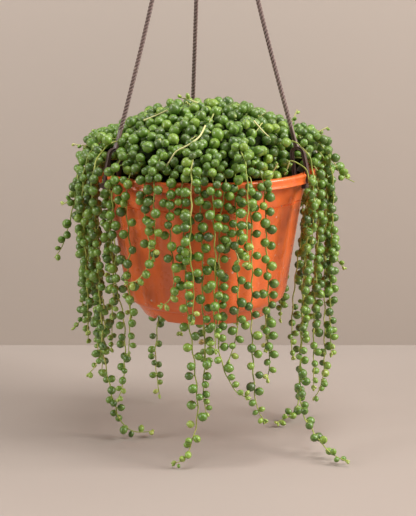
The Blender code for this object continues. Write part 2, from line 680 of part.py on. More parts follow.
def add_pearl(bm, root, centre, direction, radius, ball):
    """Grow a pearl from a triangle of the stem: a short neck and a ball of 20 faces."""
    corners, faces = ball
    middle = (root[0].co + root[1].co + root[2].co) / 3.0
    first = faces[0][::-1]
    aim = root[0].co - middle
    aim -= direction * aim.dot(direction)
    aim.normalize()
    start = Vector((corners[first[0]].x, corners[first[0]].y, 0.0)).normalized()
    square = Matrix((aim, direction.cross(aim), direction)).transposed()
    local = Matrix((start, Vector((-start.y, start.x, 0.0)), Vector((0.0, 0.0, 1.0)))).transposed()
    turn = square @ local.inverted()
    verts = [bm.verts.new(centre + turn @ (corner * radius)) for corner in corners]
    for face in faces[1:]:
        bm.faces.new([verts[index] for index in face])
    top = [verts[index] for index in first]
    for index in range(3):
        after = (index + 1) % 3
        bm.faces.new((root[index], root[after], top[after]))
        bm.faces.new((root[index], top[after], top[index]))


def stem_stations(route, pearls):
    """Distances along a stem that get a ring: pairs at the pearls, and more where it bends."""
    stations = [(0.0, None)]
    distance = STATION_BEND
    while distance < route.length - 2.0:
        if all(abs(distance - pearl[0]) > 2.0 * NODE_LENGTH for pearl in pearls):
            stations.append((distance, None))
        near_rim = distance < RIM_BEND
        near_tip = route.length - distance < TIP_BEND
        distance += STATION_BEND if near_rim or near_tip else STATION_FALL
    for index, (place, _, _) in enumerate(pearls):
        stations.append((place - NODE_LENGTH / 2.0, index))
        stations.append((place + NODE_LENGTH / 2.0, index))
    stations.append((route.length, None))
    return sorted(stations, key=lambda station: station[0])


def build_strand(name, route, pearls, ball, material):
    """A three-sided stem with its pearls grown from it, as one closed body."""
    bm = bmesh.new()
    stations = stem_stations(route, pearls)
    turn = 0.0
    rings = []
    sides = {}
    for distance, pearl in stations:
        place, _, front, across = route.at(distance)
        if pearl is not None and pearl not in sides:
            wanted = pearls[pearl][1]
            thirds = round((turn - wanted) / 120.0)
            turn = wanted + 120.0 * thirds
            sides[pearl] = -thirds % 3
        share = max(0.0, 1.0 - (route.length - distance) / TIP_BEND)
        radius = STEM_RADIUS + (TIP_STEM_RADIUS - STEM_RADIUS) * share
        ring = []
        for corner in range(3):
            angle = math.radians(turn - 60.0 + 120.0 * corner)
            ring.append(bm.verts.new(place + (front * math.cos(angle) + across * math.sin(angle)) * radius))
        rings.append(ring)
    bm.faces.new(rings[0][::-1])
    for (lower, upper), (here, there) in zip(zip(rings, rings[1:]), zip(stations, stations[1:])):
        paired = here[1] is not None and here[1] == there[1]
        for corner in range(3):
            after = (corner + 1) % 3
            bm.faces.new((lower[corner], upper[after], upper[corner]))
            root = (lower[corner], lower[after], upper[after])
            if paired and sides[here[1]] == corner:
                centre, direction, radius = pearl_place(route, pearls[here[1]])
                add_pearl(bm, root, centre, direction, radius, ball)
            else:
                bm.faces.new(root)
    bm.faces.new(rings[-1])
    return object_from(bm, name, material, 60.0)


def pearl_place(route, pearl):
    """Where a pearl's middle lies, and the direction that it leaves the stem in."""
    distance, angle, radius = pearl
    place, _, front, across = route.at(distance)
    turn = math.radians(angle)
    direction = front * math.cos(turn) + across * math.sin(turn)
    return place + direction * (STEM_RADIUS * 0.5 + PETIOLE + radius * 0.8), direction, radius


def choose_pearls(number, name, route, pitch, lean, clearance):
    """The pearls that the solids carry: one in a few, always the last, and only where one fits."""
    every = pearl_rule(number, route, pitch, lean)
    chosen = []
    for index in range(len(every) - 1, -1, -1):
        from_tip = len(every) - 1 - index
        if from_tip % STRIDE:
            continue
        distance, angle, radius = every[index]
        for extra in (0.0, -40.0, 40.0, 180.0, 90.0, -90.0):
            pearl = (distance, angle + extra, radius)
            centre, _, _ = pearl_place(route, pearl)
            if clearance.free(name, centre, radius):
                chosen.append(pearl)
                clearance.balls.append((name, centre, radius))
                break
    return sorted(chosen)


def core_point(azimuth, climb):
    """A point on the crown's core and the direction square to it; climb runs from 0 to 90 degrees."""
    lift = math.radians(climb)
    across = CORE_RADIUS * math.cos(lift)
    height = CORE_TOP * math.sin(lift)
    point = polar(azimuth, across, CORE_HEIGHT + height)
    turn = math.radians(azimuth)
    slope = Vector((math.cos(lift) / CORE_RADIUS, math.sin(lift) / CORE_TOP)).normalized()
    normal = Vector((math.cos(turn) * slope.x, math.sin(turn) * slope.x, slope.y))
    return point, normal


def build_crown(clearance, ball, material):
    """The dense head: a smaller core, with pearls that stand out of it all over."""
    profile = [(0.0, SOIL_LEVEL + GAP)]
    for height in (SOIL_LEVEL + GAP, 1.0):
        share = (height - CORE_HEIGHT) / CORE_UNDER
        profile.append((CORE_RADIUS * math.sqrt(1.0 - share * share), height))
    for climb in (0.0, 18.0, 36.0, 54.0, 72.0):
        lift = math.radians(climb)
        profile.append((CORE_RADIUS * math.cos(lift), CORE_HEIGHT + CORE_TOP * math.sin(lift)))
    profile.append((0.0, CORE_HEIGHT + CORE_TOP))
    solids = [turned(profile, CORE_SIDES)]
    draw = random.Random(4100)
    corners, faces = ball
    golden = 137.508
    for count in range(CROWN_PEARLS):
        share = (count + 0.5) / CROWN_PEARLS
        climb = math.degrees(math.asin(1.0 - 0.97 * share))
        azimuth = golden * count + draw.uniform(-3.0, 3.0)
        radius = PEARL_RADIUS + draw.uniform(-1.0, 1.0) * PEARL_SPREAD
        surface, normal = core_point(azimuth, climb)
        centre = surface + normal * (radius * CROWN_PEARL_LIFT)
        if not free_on_core(clearance, centre, radius):
            continue
        clearance.balls.append(("crown", centre, radius))
        turn = Vector((0.0, 0.0, -1.0)).rotation_difference(-normal).to_matrix()
        bm = bmesh.new()
        verts = [bm.verts.new(centre + turn @ (corner * radius)) for corner in corners]
        for face in faces:
            bm.faces.new([verts[index] for index in face])
        solids.append(bm)
    return fuse(solids, "crown", material)


def free_on_core(clearance, centre, radius):
    """Whether a pearl on the core clears the hanger, the strands and their pearls."""
    if any(segment_distance(centre, start, end) < radius + around + GAP
           for start, end, around in clearance.hanger):
        return False
    for route in clearance.routes.values():
        near = route.points[:12]
        if any(segment_distance(centre, start, end) < radius + STEM_RADIUS + GAP
               for start, end in zip(near, near[1:])):
            return False
    return all((centre - place).length > radius + size + GAP for _, place, size in clearance.balls)


def main():
    for old in list(bpy.data.objects):
        bpy.data.objects.remove(old)
    pot_plastic = new_material("pot_plastic", POT_COLOUR, 0.38)
    hanger_plastic = new_material("hanger_plastic", HANGER_COLOUR, 0.45)
    plant = new_material("plant", PLANT_COLOUR, 0.4)
    earth = new_material("soil", SOIL_COLOUR, 0.95)
    build_pot(pot_plastic)
    build_soil(earth)
    build_hook(hanger_plastic)
    for name, azimuth in ARM_AZIMUTHS.items():
        build_arm(name, azimuth, hanger_plastic)
    routes = {name: Route(strand_route(azimuth, layer, bends), azimuth)
              for name, (azimuth, layer, _, _, bends) in STRANDS.items()}
    clearance = Clearance(routes)
    ball = icosahedron()
    for number, (name, (_, _, pitch, lean, _)) in enumerate(STRANDS.items()):
        pearls = choose_pearls(number, name, routes[name], pitch, lean, clearance)
        build_strand(name, routes[name], pearls, ball, plant)
    build_crown(clearance, ball, plant)


main()
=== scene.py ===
"""Looks of a hanging string of pearls in its plastic pot.

Sizes are in millimetres and heights are measured from the pot's rim, which hangs RIM_DROP under the
hook's crown. Meshes are made in metres, with +Z up and -Y towards the front.
"""
import json
import math
import random

import bmesh
import bpy
import numpy as np
from mathutils import Matrix, Vector

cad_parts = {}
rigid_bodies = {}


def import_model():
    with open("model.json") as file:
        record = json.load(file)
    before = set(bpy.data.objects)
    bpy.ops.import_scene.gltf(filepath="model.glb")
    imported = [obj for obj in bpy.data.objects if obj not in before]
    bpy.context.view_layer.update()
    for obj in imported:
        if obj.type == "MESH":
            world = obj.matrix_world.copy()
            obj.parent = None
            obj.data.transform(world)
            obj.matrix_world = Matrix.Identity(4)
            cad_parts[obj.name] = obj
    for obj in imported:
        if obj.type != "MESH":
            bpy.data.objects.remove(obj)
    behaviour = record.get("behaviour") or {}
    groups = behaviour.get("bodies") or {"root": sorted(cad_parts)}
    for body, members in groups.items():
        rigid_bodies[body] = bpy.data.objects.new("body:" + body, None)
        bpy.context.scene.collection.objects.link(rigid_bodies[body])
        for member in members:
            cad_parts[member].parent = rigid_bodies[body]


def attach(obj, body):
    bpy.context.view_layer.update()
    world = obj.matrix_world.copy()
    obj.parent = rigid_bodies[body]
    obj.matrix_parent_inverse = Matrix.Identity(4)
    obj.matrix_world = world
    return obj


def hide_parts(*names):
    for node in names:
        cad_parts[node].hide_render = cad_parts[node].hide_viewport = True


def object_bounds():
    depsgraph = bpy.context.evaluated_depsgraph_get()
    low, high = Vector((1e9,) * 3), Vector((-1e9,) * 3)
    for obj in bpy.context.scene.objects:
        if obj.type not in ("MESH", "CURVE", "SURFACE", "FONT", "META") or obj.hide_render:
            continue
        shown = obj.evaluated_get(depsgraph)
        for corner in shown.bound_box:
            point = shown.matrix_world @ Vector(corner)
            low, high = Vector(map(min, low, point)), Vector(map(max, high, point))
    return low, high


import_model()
cad_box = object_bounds()

MM = 0.001
UP = Vector((0.0, 0.0, 1.0))
SMOOTH_ANGLE = 35.0         # edges sharper than this stay sharp

# The pot
RIM_DROP = 300.0
RIM_RADIUS = 75.0
RIM_TOP_INNER = 69.4
BAND_HEIGHT = 6.6
BAND_THICKNESS = 1.6
RIM_THICKNESS = 2.2
POT_HEIGHT = 100.0
WALL_TOP_RADIUS = 69.0
WALL_SLOPE = 0.165
WALL_THICKNESS = 2.2
STEP_DEPTH = 20.0
STEP_SIZE = 0.5
WALL_END = 86.0
SEAM_RADIUS = 49.0
SEAM_DEPTH = 91.5
FLOOR_RADIUS = 43.5
FOOT_RADIUS = 43.0
FOOT_WIDTH = 2.6
FLOOR_UNDER = -96.0
FLUTES = 24
FLUTE_DEPTH = 1.3
FLUTE_TOP = 8.5             # depth below the rim where the flutes start to show
FLUTE_FOOT = 90.0           # depth below the rim where they have faded out
TOP_FADE = 9.0
FOOT_FADE = 8.0
POT_SIDES = 288
FOOT_NOTCHES = (103.0, 223.0, 343.0)
FOOT_NOTCH_RADIUS = 7.5
DRAIN_HOLES = 6
DRAIN_RADIUS = 3.0
DRAIN_CIRCLE = 26.0

# The soil and the mound of the crown
GAP = 0.35
SOIL_LEVEL = -6.0
SOIL_SIDES = 120
CORE_RADIUS = 60.0
CORE_HEIGHT = 8.0
CORE_TOP = 33.0
CORE_UNDER = 24.0

# The hook cap and its arms
HOOK_INNER = 12.0
HOOK_THICKNESS = 4.4
HOOK_WIDTH = 7.0
CAP_TOP = 252.0
CAP_THICKNESS = 3.0
CAP_RADIUS = 12.5
ARM_AZIMUTHS = {"left": 205.5, "right": 337.5, "back": 98.5}
ARM_RADIUS = 1.75
ROPE_RADIUS = 1.6
ROPE_TWIST = 7.2            # length of bar in a full turn of its three strands
ROPE_FOOT = 65.3            # where the bar's middle line meets its clip, a little inside the solid's
ROPE_BOW = 4.0              # how far the bar bows towards the axis halfway up
ROPE_STEP = 0.45
STRAIGHT_LENGTH = 12.0      # above the clip the three strands run side by side
FLARE_RADIUS = 2.7
ARM_APEX = 282.0
ARM_FOOT_RADIUS = 68.7
ARM_FOOT_HEIGHT = 17.0
ARM_HEAD_RADIUS = 2.9
ARM_HEAD_HEIGHT = 2.4
LEG_THICKNESS = 3.4
LEG_WIDTH = 5.0
STRAP_THICKNESS = 2.4
STRAP_WIDTH = 3.6
ARCH_REACH = 4.15           # half the spacing of the clip's legs at its arch
GROOVE_STEPS = 6
LEG_SPACING = 9.2
LEG_TOP = 12.0
INNER_LEG_END = -3.0
BAR_LENGTH = 17.0
BAR_SIZE = 3.0
RIM_NOTCH = 13.0
RIM_NOTCH_STANDOFF = 0.9    # how far outside the wall the notch ends

# The strands
STEM_SIDES = 7
STEM_RADIUS = 0.46
TIP_STEM_RADIUS = 0.3
SOLID_STEM_RADIUS = 0.9     # stems of the solids, which set how far pearls stand off
PEARL_SIDES = 12
PEARL_RADIUS = 3.25
PEARL_SPREAD = 0.45
PETIOLE = 1.0
STRIDE = 5                  # every fifth pearl from the tip is in the solids and takes its seat first
FIRST_PEARL = 9.0
TIP_BEND = 34.0
YOUNG_PEARLS = 4.5
YOUNG_SIZE = 0.45
PEARL_ANGLES = (50.0, 112.0)
DRY_SHARE = 0.0015
BETWEEN_EASE = 0.86         # how close the pearls between those of the solids sit to their neighbours
COVER_EASE = 0.8            # the same for those that cover the upper stems
LOWER_EASE = 0.84           # the same for the few further down
COVERED = 92.0              # how much of a stem is covered
COVERED_RIGHT = 130.0
COVERED_SPARSE = 34.0
SHOULDER_LEFT = 89.5        # how far pearls reach from the axis at the rim's level
SHOULDER_RIGHT = 88.5

# Seeds of the random draws
SOIL_SEED = 310
MASS_SEED = 77
CROWN_SEED = 4100
STRAND_SEED = 5200
RULE_SEED = 7000
SEAT_SEED = 9000
BETWEEN_SEED = 9500
COVER_SEED = 9900

# How each layer of strands leaves the crown: radius and height of the points that it passes
LAYERS = {
    "inner": ((60.4, 8.0), (67.0, 8.0), (72.0, 5.6), (75.8, 2.5), (77.7, -2.0)),
    "middle": ((59.0, 13.0), (67.0, 15.4), (75.5, 12.5), (80.8, 4.0)),
    "outer": ((56.6, 19.2), (65.0, 22.5), (76.0, 19.5), (84.0, 8.5)),
}
HANG_RADIUS = {"inner": 78.0, "middle": 82.5, "outer": 87.0}

# The strands of each side, in turn: azimuth at the rim, layer, pearl pitch, the side that its pearls take
# (-1 left, 1 right, 0 both), and the points that it hangs through as (drop, sideways, outward)
SIDES = {
    "front": (
        (229.5, "inner", 8.9, -1, ((20, -1, 0), (45, 2, 0), (60, -1, 0), (85, 1, 0), (116, -1, 0))),
        (240.0, "inner", 7.2, -1, ((14, -1, 0), (32, 3, 2), (42, 6, 4), (51, 6, 6), (58, 3, 8),
            (63, -2, 9), (65, -9, 10))),
        (246.5, "middle", 7.0, 0, ((15, 0, 0), (34, 1, 1), (48, 0, 2))),
        (252.5, "inner", 6.6, -1, ((20, 0, 0), (40, 1, 0), (55, 3, 1), (68, 3, 2), (76, 0, 4), (79, -5, 5))),
        (258.8, "inner", 6.4, 0, ((28, 1, 0), (78, 3, 1), (112, 7, 1), (140, 9.5, 2), (156, 9, 2),
            (172, 5, 3), (181, 1, 4), (184, -6, 5))),
        (264.0, "outer", 7.6, 1, ((15, 0, 0), (40, -1, 0), (64, 1, -1), (88, 0, -1))),
        (267.5, "inner", 6.8, -1, ((20, 0, 0), (50, 1.5, 0), (76, 1, 0), (114, 2.5, 0), (133, 1, 0),
            (152, 3, 1))),
        (273.5, "middle", 7.2, 0, ((20, 0, 0), (50, 1, 0), (80, 0, -1), (108, 1, 0))),
        (279.5, "inner", 6.8, -1, ((12, -2, 0), (31, -4, 0), (75, -5, 1), (95, -6, 1), (114, -4, 2),
            (128, 1, 3), (136, 6, 4), (140, 13, 5))),
        (285.0, "inner", 6.6, 0, ((15, -1, 0), (60, 0, 1), (80, 0, 1), (98, -1, 1), (106, -3, 1),
            (116, -7, 2))),
        (288.0, "outer", 7.4, 1, ((14, 0, 0), (34, -1, 0), (52, 1, 0))),
        (292.0, "inner", 6.6, 0, ((20, 0, 0), (60, 0.5, 0), (90, -0.5, 1), (135, 1.5, 1), (150, 4, 1),
            (159, 9, 2))),
        (299.0, "inner", 5.8, 0, ((20, 0.5, 0), (45, 1.5, 0), (75, 3, 0), (95, 1.5, 0), (118, 4, 0),
            (132, 2, 0))),
    ),
    "left": (
        (217.0, "inner", 7.4, 0, ((25, -1, 0), (60, 1.5, 0), (75, 3, -2), (93, 4, -6), (113, 4, -7),
            (138, 4, -5), (150, 2, -2))),
        (223.0, "middle", 7.6, -1, ((20, 0, 0), (48, 1, -1), (72, 0, 0), (92, -2, 1))),
        (211.0, "outer", 7.0, 0, ((40, 0, -3), (80, 1, -4), (104, 2, -5), (118, 1, -4), (128, -2, -1),
            (134, -5, 3))),
        (196.5, "inner", 7.2, 0, ((40, 0, 0), (100, 0, -3), (127, 0, -5), (145, 0, -8), (157, 0, -10.5),
            (172, 0, -15), (179, 0, -20), (182.5, 1, -27), (183.5, 0, -38))),
        (200.5, "outer", 7.0, 0, ((30, 0, 0), (60, 1, -1), (88, 0, -2), (108, 1, -1))),
        (190.5, "middle", 6.8, 0, ((40, 1, -1), (80, -1, -1), (118, 0, 0))),
        (186.0, "inner", 6.8, 0, ((40, 0, 1), (76, 0, 2), (90, 0, 4), (101, 0, 7), (106, 0, 10),
            (110, 0, 14))),
        (181.5, "outer", 6.4, -1, ((12, 0, 0.5), (25, 0, 3), (41, 0, 7), (55, 0, 12), (62, 0, 17))),
        (177.0, "inner", 7.0, 0, ((35, 0, 0), (70, -1, -2), (104, 1, -3), (132, 0, -2))),
        (171.0, "outer", 7.0, 0, ((30, 0, 0), (60, 1, -1), (84, -1, -1), (100, 0, 1))),
        (164.5, "inner", 7.2, 0, ((40, 0, 0), (80, 1, -2), (118, -1, -3), (150, 1, -1))),
        (158.0, "middle", 7.2, 0, ((30, 0, 0), (62, -1, 0), (92, 1, 0), (114, 0, 1))),
        (151.0, "inner", 7.4, 0, ((40, 0, 0), (80, -1, -2), (112, 1, -2), (138, 0, 0))),
        (143.5, "outer", 7.4, 0, ((30, 0, 0), (58, 1, -1), (86, 0, 0))),
    ),
    "back": (
        (135.0, "inner", 7.4, 0, ((35, 0, 0), (75, 1, -1), (118, 0, 0))),
        (126.5, "middle", 7.6, 0, ((35, 0, 0), (65, -1, 0), (98, 0, 1))),
        (119.0, "inner", 7.4, 0, ((45, 0, 0), (90, 0, 0), (120, -2, -1), (152, 0, 0), (182, -3, 0))),
        (110.5, "outer", 7.6, 0, ((35, 0, 0), (70, 1, 0), (104, 0, 1))),
        (104.0, "inner", 7.6, 0, ((35, 0, 0), (70, 1, -1), (105, -1, -1), (136, 0, 0))),
        (90.5, "inner", 7.4, 0, ((40, 0, 0), (80, 0, -1), (125, 1, 0), (163, 0, 1))),
        (82.0, "outer", 7.8, 0, ((35, 0, 0), (70, -1, 0), (96, 0, 1))),
        (73.5, "inner", 7.6, 0, ((40, 0, 0), (80, 1, -1), (128, 0, 0))),
        (64.5, "middle", 7.6, 0, ((30, 0, 0), (60, -1, 0), (90, 0, 1))),
        (56.0, "inner", 7.4, 0, ((40, 0, 0), (80, 0, -1), (116, 1, 0), (146, 0, 0))),
    ),
    "right": (
        (331.0, "inner", 7.0, 0, ((49, 0, -1.5), (93, -1.5, -3.5), (109, -2, -4), (134, -2.5, -5),
            (154, -4, -3.5), (164, -7, 1), (175, -15, 15), (181, -22, 28), (183.5, -26, 41))),
        (325.5, "outer", 7.0, 1, ((12, 1, -2), (26, 2, -3), (44, 3, -4))),
        (344.0, "inner", 6.6, 0, ((50, 0, 0), (104, 0, -2), (134, 0, -2), (151, 0, -2))),
        (348.5, "outer", 6.8, 0, ((30, 0, 0), (64, 1, -1), (98, -1, -1), (128, 0, 0))),
        (353.0, "middle", 6.8, 0, ((50, 0, -1), (92, 0, -1), (138, 0, -1), (154, 0, -4), (161, 0, -8))),
        (357.5, "outer", 6.2, 0, ((4, 0, 4), (8, 0, 9), (10.5, 0, 14))),
        (3.0, "middle", 6.6, 0, ((30, 0, 0), (48, 0, 0), (58, 0, 3), (66, 0, 8), (72, 0, 13))),
        (8.5, "inner", 7.0, 0, ((40, 0, 0), (80, 1, -2), (118, 0, -2))),
        (14.5, "outer", 7.2, 0, ((30, 0, 0), (62, -1, -1), (92, 0, 0))),
        (20.5, "inner", 7.2, 0, ((35, 0, -4), (74, 0, -10), (100, 0, -13), (128, 0, -14), (141, 0, -13))),
        (28.0, "middle", 7.2, 0, ((50, 0, -3), (120, 0, -6), (165, 0, -8), (179, -4, -12),
            (182.5, -10, -22), (183.5, -16, -36))),
        (37.0, "outer", 7.6, 0, ((35, 0, 0), (70, 1, -1), (108, 0, 0))),
        (46.5, "inner", 7.4, 0, ((40, 0, 0), (80, -1, -1), (122, 0, 0))),
    ),
}
STRANDS = {f"{side}_{count:02d}": strand for side, strands in SIDES.items()
           for count, strand in enumerate(strands, 1)}

# The mound: radius and height of its pearls' tops, and the width of the round edge that ends it
MOUND = ((0.0, 44.2), (15.0, 43.8), (30.0, 40.8), (42.0, 36.2), (53.0, 31.0), (65.0, 25.0), (75.0, 20.5),
         (85.0, 15.6))
MOUND_EDGE_WIDTH = 18.0
MASS_DEPTH = 9.5            # from the pearls' tops down to the mass of stems, coloured near black as painted shade
MASS_SIDES = 96
MASS_TOP_ROWS = 24
MASS_FOOT_ROWS = 3
# Azimuth, reach and edge height of the mound, with a bare patch of soil at the right front
MOUND_EDGE = (
    (0.0, 83.0, 13.0), (40.0, 80.0, 12.0), (90.0, 78.0, 11.0), (140.0, 80.0, 12.0), (180.0, 83.0, 13.0),
    (193.0, 80.0, 11.0), (199.0, 65.0, 1.0), (212.0, 65.0, 1.0), (218.0, 76.0, 6.0), (240.0, 77.0, 6.0),
    (270.0, 77.0, 5.0), (298.0, 75.5, 5.0), (304.0, 67.0, -2.0), (329.0, 66.0, -2.0), (343.0, 65.0, 1.0),
    (350.0, 80.0, 11.5), (360.0, 83.0, 13.0),
)
# The crown's layers of pearls: depth, tries, ease and mean tint; the deeper layers' darker tint is painted
# shade
CROWN_LAYERS = ((-1.9, 170, 1.0, 0.52), (0.0, 18000, 0.96, 0.49), (3.8, 18000, 0.93, 0.4),
                (7.2, 14000, 0.9, 0.28))
MOST_PEARLS = 9000
CROWN_STEMS = 9
# Bare stems that lie on the mound, as (x, y)
BARE_STEMS = (
    ((0, -48), (-3, -59), (-7, -64), (-12, -66), (-18, -68), (-21, -70), (-23, -71), (-26, -71.5)),
    ((-25, -20), (-33, -18), (-41, -22)),
    ((31, -38), (37, -40), (43, -38)),
    ((-68, -18), (-65, -18.5), (-62, -19)),
)
# Short shoots with their pearls' size, as (x, y, height above the rim)
SHOOTS = (
    (2.6, ((-70, -3, 15), (-82, 0, 15), (-90, 0, 16))),
    (2.8, ((-3, -5, 43), (-11, -2, 46), (-18, 0, 47.5))),
    (2.6, ((58, 0, 29), (60.5, 0, 34.5), (62, 0, 38.5))),
    (2.8, ((70, 0, 19), (77, 0, 23.5), (83, 0, 26.5))),
    (1.9, ((-67, -2, 17), (-71, 0, 21.5), (-75, 0, 25.5))),
    (2.2, ((42, -44, 0), (45, -46, 5), (47, -47, 9))),
    (2.0, ((52, -36, 0), (54, -38, 5), (55, -39, 9))),
)
# Side shoots of hanging strands, as (x, y, height above the rim)
SIDE_SHOOTS = {
    "left_08": ((-89, -3, -22), (-94, -5, -23), (-98, -5, -25)),
    "front_09": ((12, -77, -29), (19, -79, -43), (21.5, -79, -50)),
}
PEARL_OUTLINE = ((0.0, -1.22), (0.25, -0.97), (0.75, -0.66), (0.99, -0.12), (0.93, 0.40), (0.58, 0.82),
                 (0.16, 1.03), (0.0, 1.12))
TOWARDS_FRONT = Vector((0.0, -1.0, 0.14)) * 5.0

# The stage, in metres
FLOOR_LEVEL = -0.4873
STAGE_REACH = 6.0
WALL_PLACE = 0.243
WALL_TOP = 4.0
WALL_TURN = -0.0238         # the wall's turn, which levels its foot for the leaning camera
CAMERA_PLACE = (0.0013, -1.155, -0.1285)
PITCH = 11.49               # degrees that the camera looks down
ROLL = -0.35                # degrees that it leans
LENS = 119.8
SENSOR_WIDTH = 36.0
LIGHT_TARGET = Vector((0.0, 0.0, -0.32))
# Each light: place, side, power and colour
LIGHTS = {
    "key": ((2.4, -0.7, 1.1), 1.5, 106.0, (255, 250, 246)),
    "fill": ((-2.3, -0.7, 0.6), 1.0, 38.0, (255, 252, 248)),
    "top": ((0.15, -0.35, 1.3), 0.7, 15.0, (255, 252, 250)),
}


def outward_at(azimuth):
    """The level direction away from the pot's axis at an azimuth."""
    angle = math.radians(azimuth)
    return Vector((math.cos(angle), math.sin(angle), 0.0))


def polar(azimuth, radius, height, sideways=0.0):
    """A point at an azimuth and radius from the pot's axis, at a height above the rim."""
    outward = outward_at(azimuth)
    return outward * radius + Vector((-outward.y, outward.x, 0.0)) * sideways + UP * (height - RIM_DROP)


def wall_radius(depth):
    """Outside radius of the pot's tapered wall at a depth below the rim."""
    return WALL_TOP_RADIUS - WALL_SLOPE * depth


def arm_radius_at(height):
    """Distance of an arm's middle line from the axis at a height above the rim."""
    return ARM_FOOT_RADIUS * (ARM_APEX - height) / (ARM_APEX - ARM_FOOT_HEIGHT)


def arc(x, y, radius, angles):
    """Points of an arc about a centre, at angles in degrees."""
    return [(x + radius * math.cos(math.radians(angle)), y + radius * math.sin(math.radians(angle)))
            for angle in angles]


def pairs(line):
    """Each point of a line with the next."""
    return zip(line, line[1:])


def limited(value, low=0.0, high=1.0):
    return min(max(value, low), high)


# Node trees

class Tree:
    """A node tree that is written one node at a time."""

    def __init__(self, tree):
        self.tree = tree

    def add(self, kind, *first, at=None, **named):
        """Add a node and give its outputs.

        Plain values feed its first inputs in turn and at feeds inputs by number. A capitalised name feeds
        the input of that name, and any other name is a setting of the node.
        """
        families = (self.tree.bl_idname.removesuffix("Tree"), "ShaderNode", "FunctionNode")
        full_kind = next(family + kind for family in families if hasattr(bpy.types, family + kind))
        made = self.tree.nodes.new(full_kind)
        feeds = dict(enumerate(first)) | (at or {})
        for key, value in named.items():
            if key[0].isupper():
                feeds[key.replace("_", " ")] = value
            else:
                setattr(made, key, value)
        for key, value in feeds.items():
            if isinstance(value, bpy.types.NodeSocket):
                self.tree.links.new(value, made.inputs[key])
            else:
                made.inputs[key].default_value = value
        return made.outputs

    def step(self, kind, *first, **named):
        """Add a node and give its first output."""
        return self.add(kind, *first, **named)[0]

    def maths(self, operation, *terms):
        return self.step("Math", *terms, operation=operation)

    def stored(self, name, kind="FLOAT"):
        """A named value that the mesh carries, read inside a geometry tree."""
        return self.step("InputNamedAttribute", Name=name, data_type=kind)

    def joined(self, *parts):
        """Several geometries in one."""
        made = self.tree.nodes.new("GeometryNodeJoinGeometry")
        for part in parts:
            self.tree.links.new(part, made.inputs[0])
        return made.outputs[0]


class Group(Tree):
    """A node group; each input is given as its first value or as the kind of thing that it takes."""

    KINDS = {int: "Int", float: "Float"}

    def __init__(self, name, result, **inputs):
        family = "Geometry" if result == "Geometry" else "Shader"
        super().__init__(bpy.data.node_groups.new(name, f"{family}NodeTree"))
        sockets = self.tree.interface
        for key, value in inputs.items():
            label = key.replace("_", " ")
            kind = self.KINDS.get(type(value), value)
            made = sockets.new_socket(label, in_out="INPUT", socket_type=f"NodeSocket{kind}")
            if kind != value:
                made.default_value = value
        sockets.new_socket("Result", in_out="OUTPUT", socket_type=f"NodeSocket{result}")
        self.given = self.tree.nodes.new("NodeGroupInput").outputs
        self.end = self.tree.nodes.new("NodeGroupOutput").inputs[0]

    def give(self, socket):
        self.tree.links.new(socket, self.end)

    def grown(self, name, seed, **inputs):
        """Run the group on a seed mesh and keep the plain mesh that comes out of it."""
        piece = linked(name, seed)
        modifier = piece.modifiers.new(self.tree.name, "NODES")
        modifier.node_group = self.tree
        for item in self.tree.interface.items_tree:
            key = item.name.replace(" ", "_")
            if key in inputs:
                modifier[item.identifier] = inputs[key]
        applied(piece, preserve_all_data_layers=True)
        bpy.data.meshes.remove(seed)
        piece.data.name = name
        return piece


def swept_bar_group():
    """Sweeps a lobed outline along a line whose points carry their own thickness and twist."""
    tree = Group("swept_bar", "Geometry", Geometry="Geometry", Sides=8, Lobes=0.0, Lobe_Depth=0.0,
                 Material="Material")
    given = tree.given
    line = tree.step("MeshToCurve", given["Geometry"])
    line = tree.step("SetCurveTilt", line, Tilt=tree.stored("tilt"))
    outline = tree.step("CurvePrimitiveCircle", Resolution=given["Sides"], Radius=1.0)
    place = tree.step("InputPosition")
    parts = tree.add("SeparateXYZ", place)
    around = tree.maths("ARCTAN2", parts["Y"], parts["X"])
    around = tree.maths("MULTIPLY", around, tree.maths("MULTIPLY", given["Lobes"], 0.5))
    lobe = tree.maths("ABSOLUTE", tree.maths("COSINE", around))
    drop = tree.maths("MULTIPLY", given["Lobe Depth"], tree.maths("SUBTRACT", 1.0, lobe))
    lobed = tree.step("VectorMath", place, Scale=tree.maths("SUBTRACT", 1.0, drop), operation="SCALE")
    outline = tree.step("SetPosition", outline, Position=lobed)
    # The lobe share is kept for the painted highlight on the rope's ridges.
    outline = tree.step("StoreNamedAttribute", outline, Name="ridge", Value=lobe, data_type="FLOAT",
                        domain="POINT")
    swept = tree.step("CurveToMesh", line, Profile_Curve=outline, Scale=tree.stored("thickness"),
                      Fill_Caps=True)
    plain = tree.step("RealizeInstances", swept)
    smooth = tree.step("SetShadeSmooth", plain, Shade_Smooth=True)
    tree.give(tree.step("SetMaterial", smooth, Material=given["Material"]))
    return tree


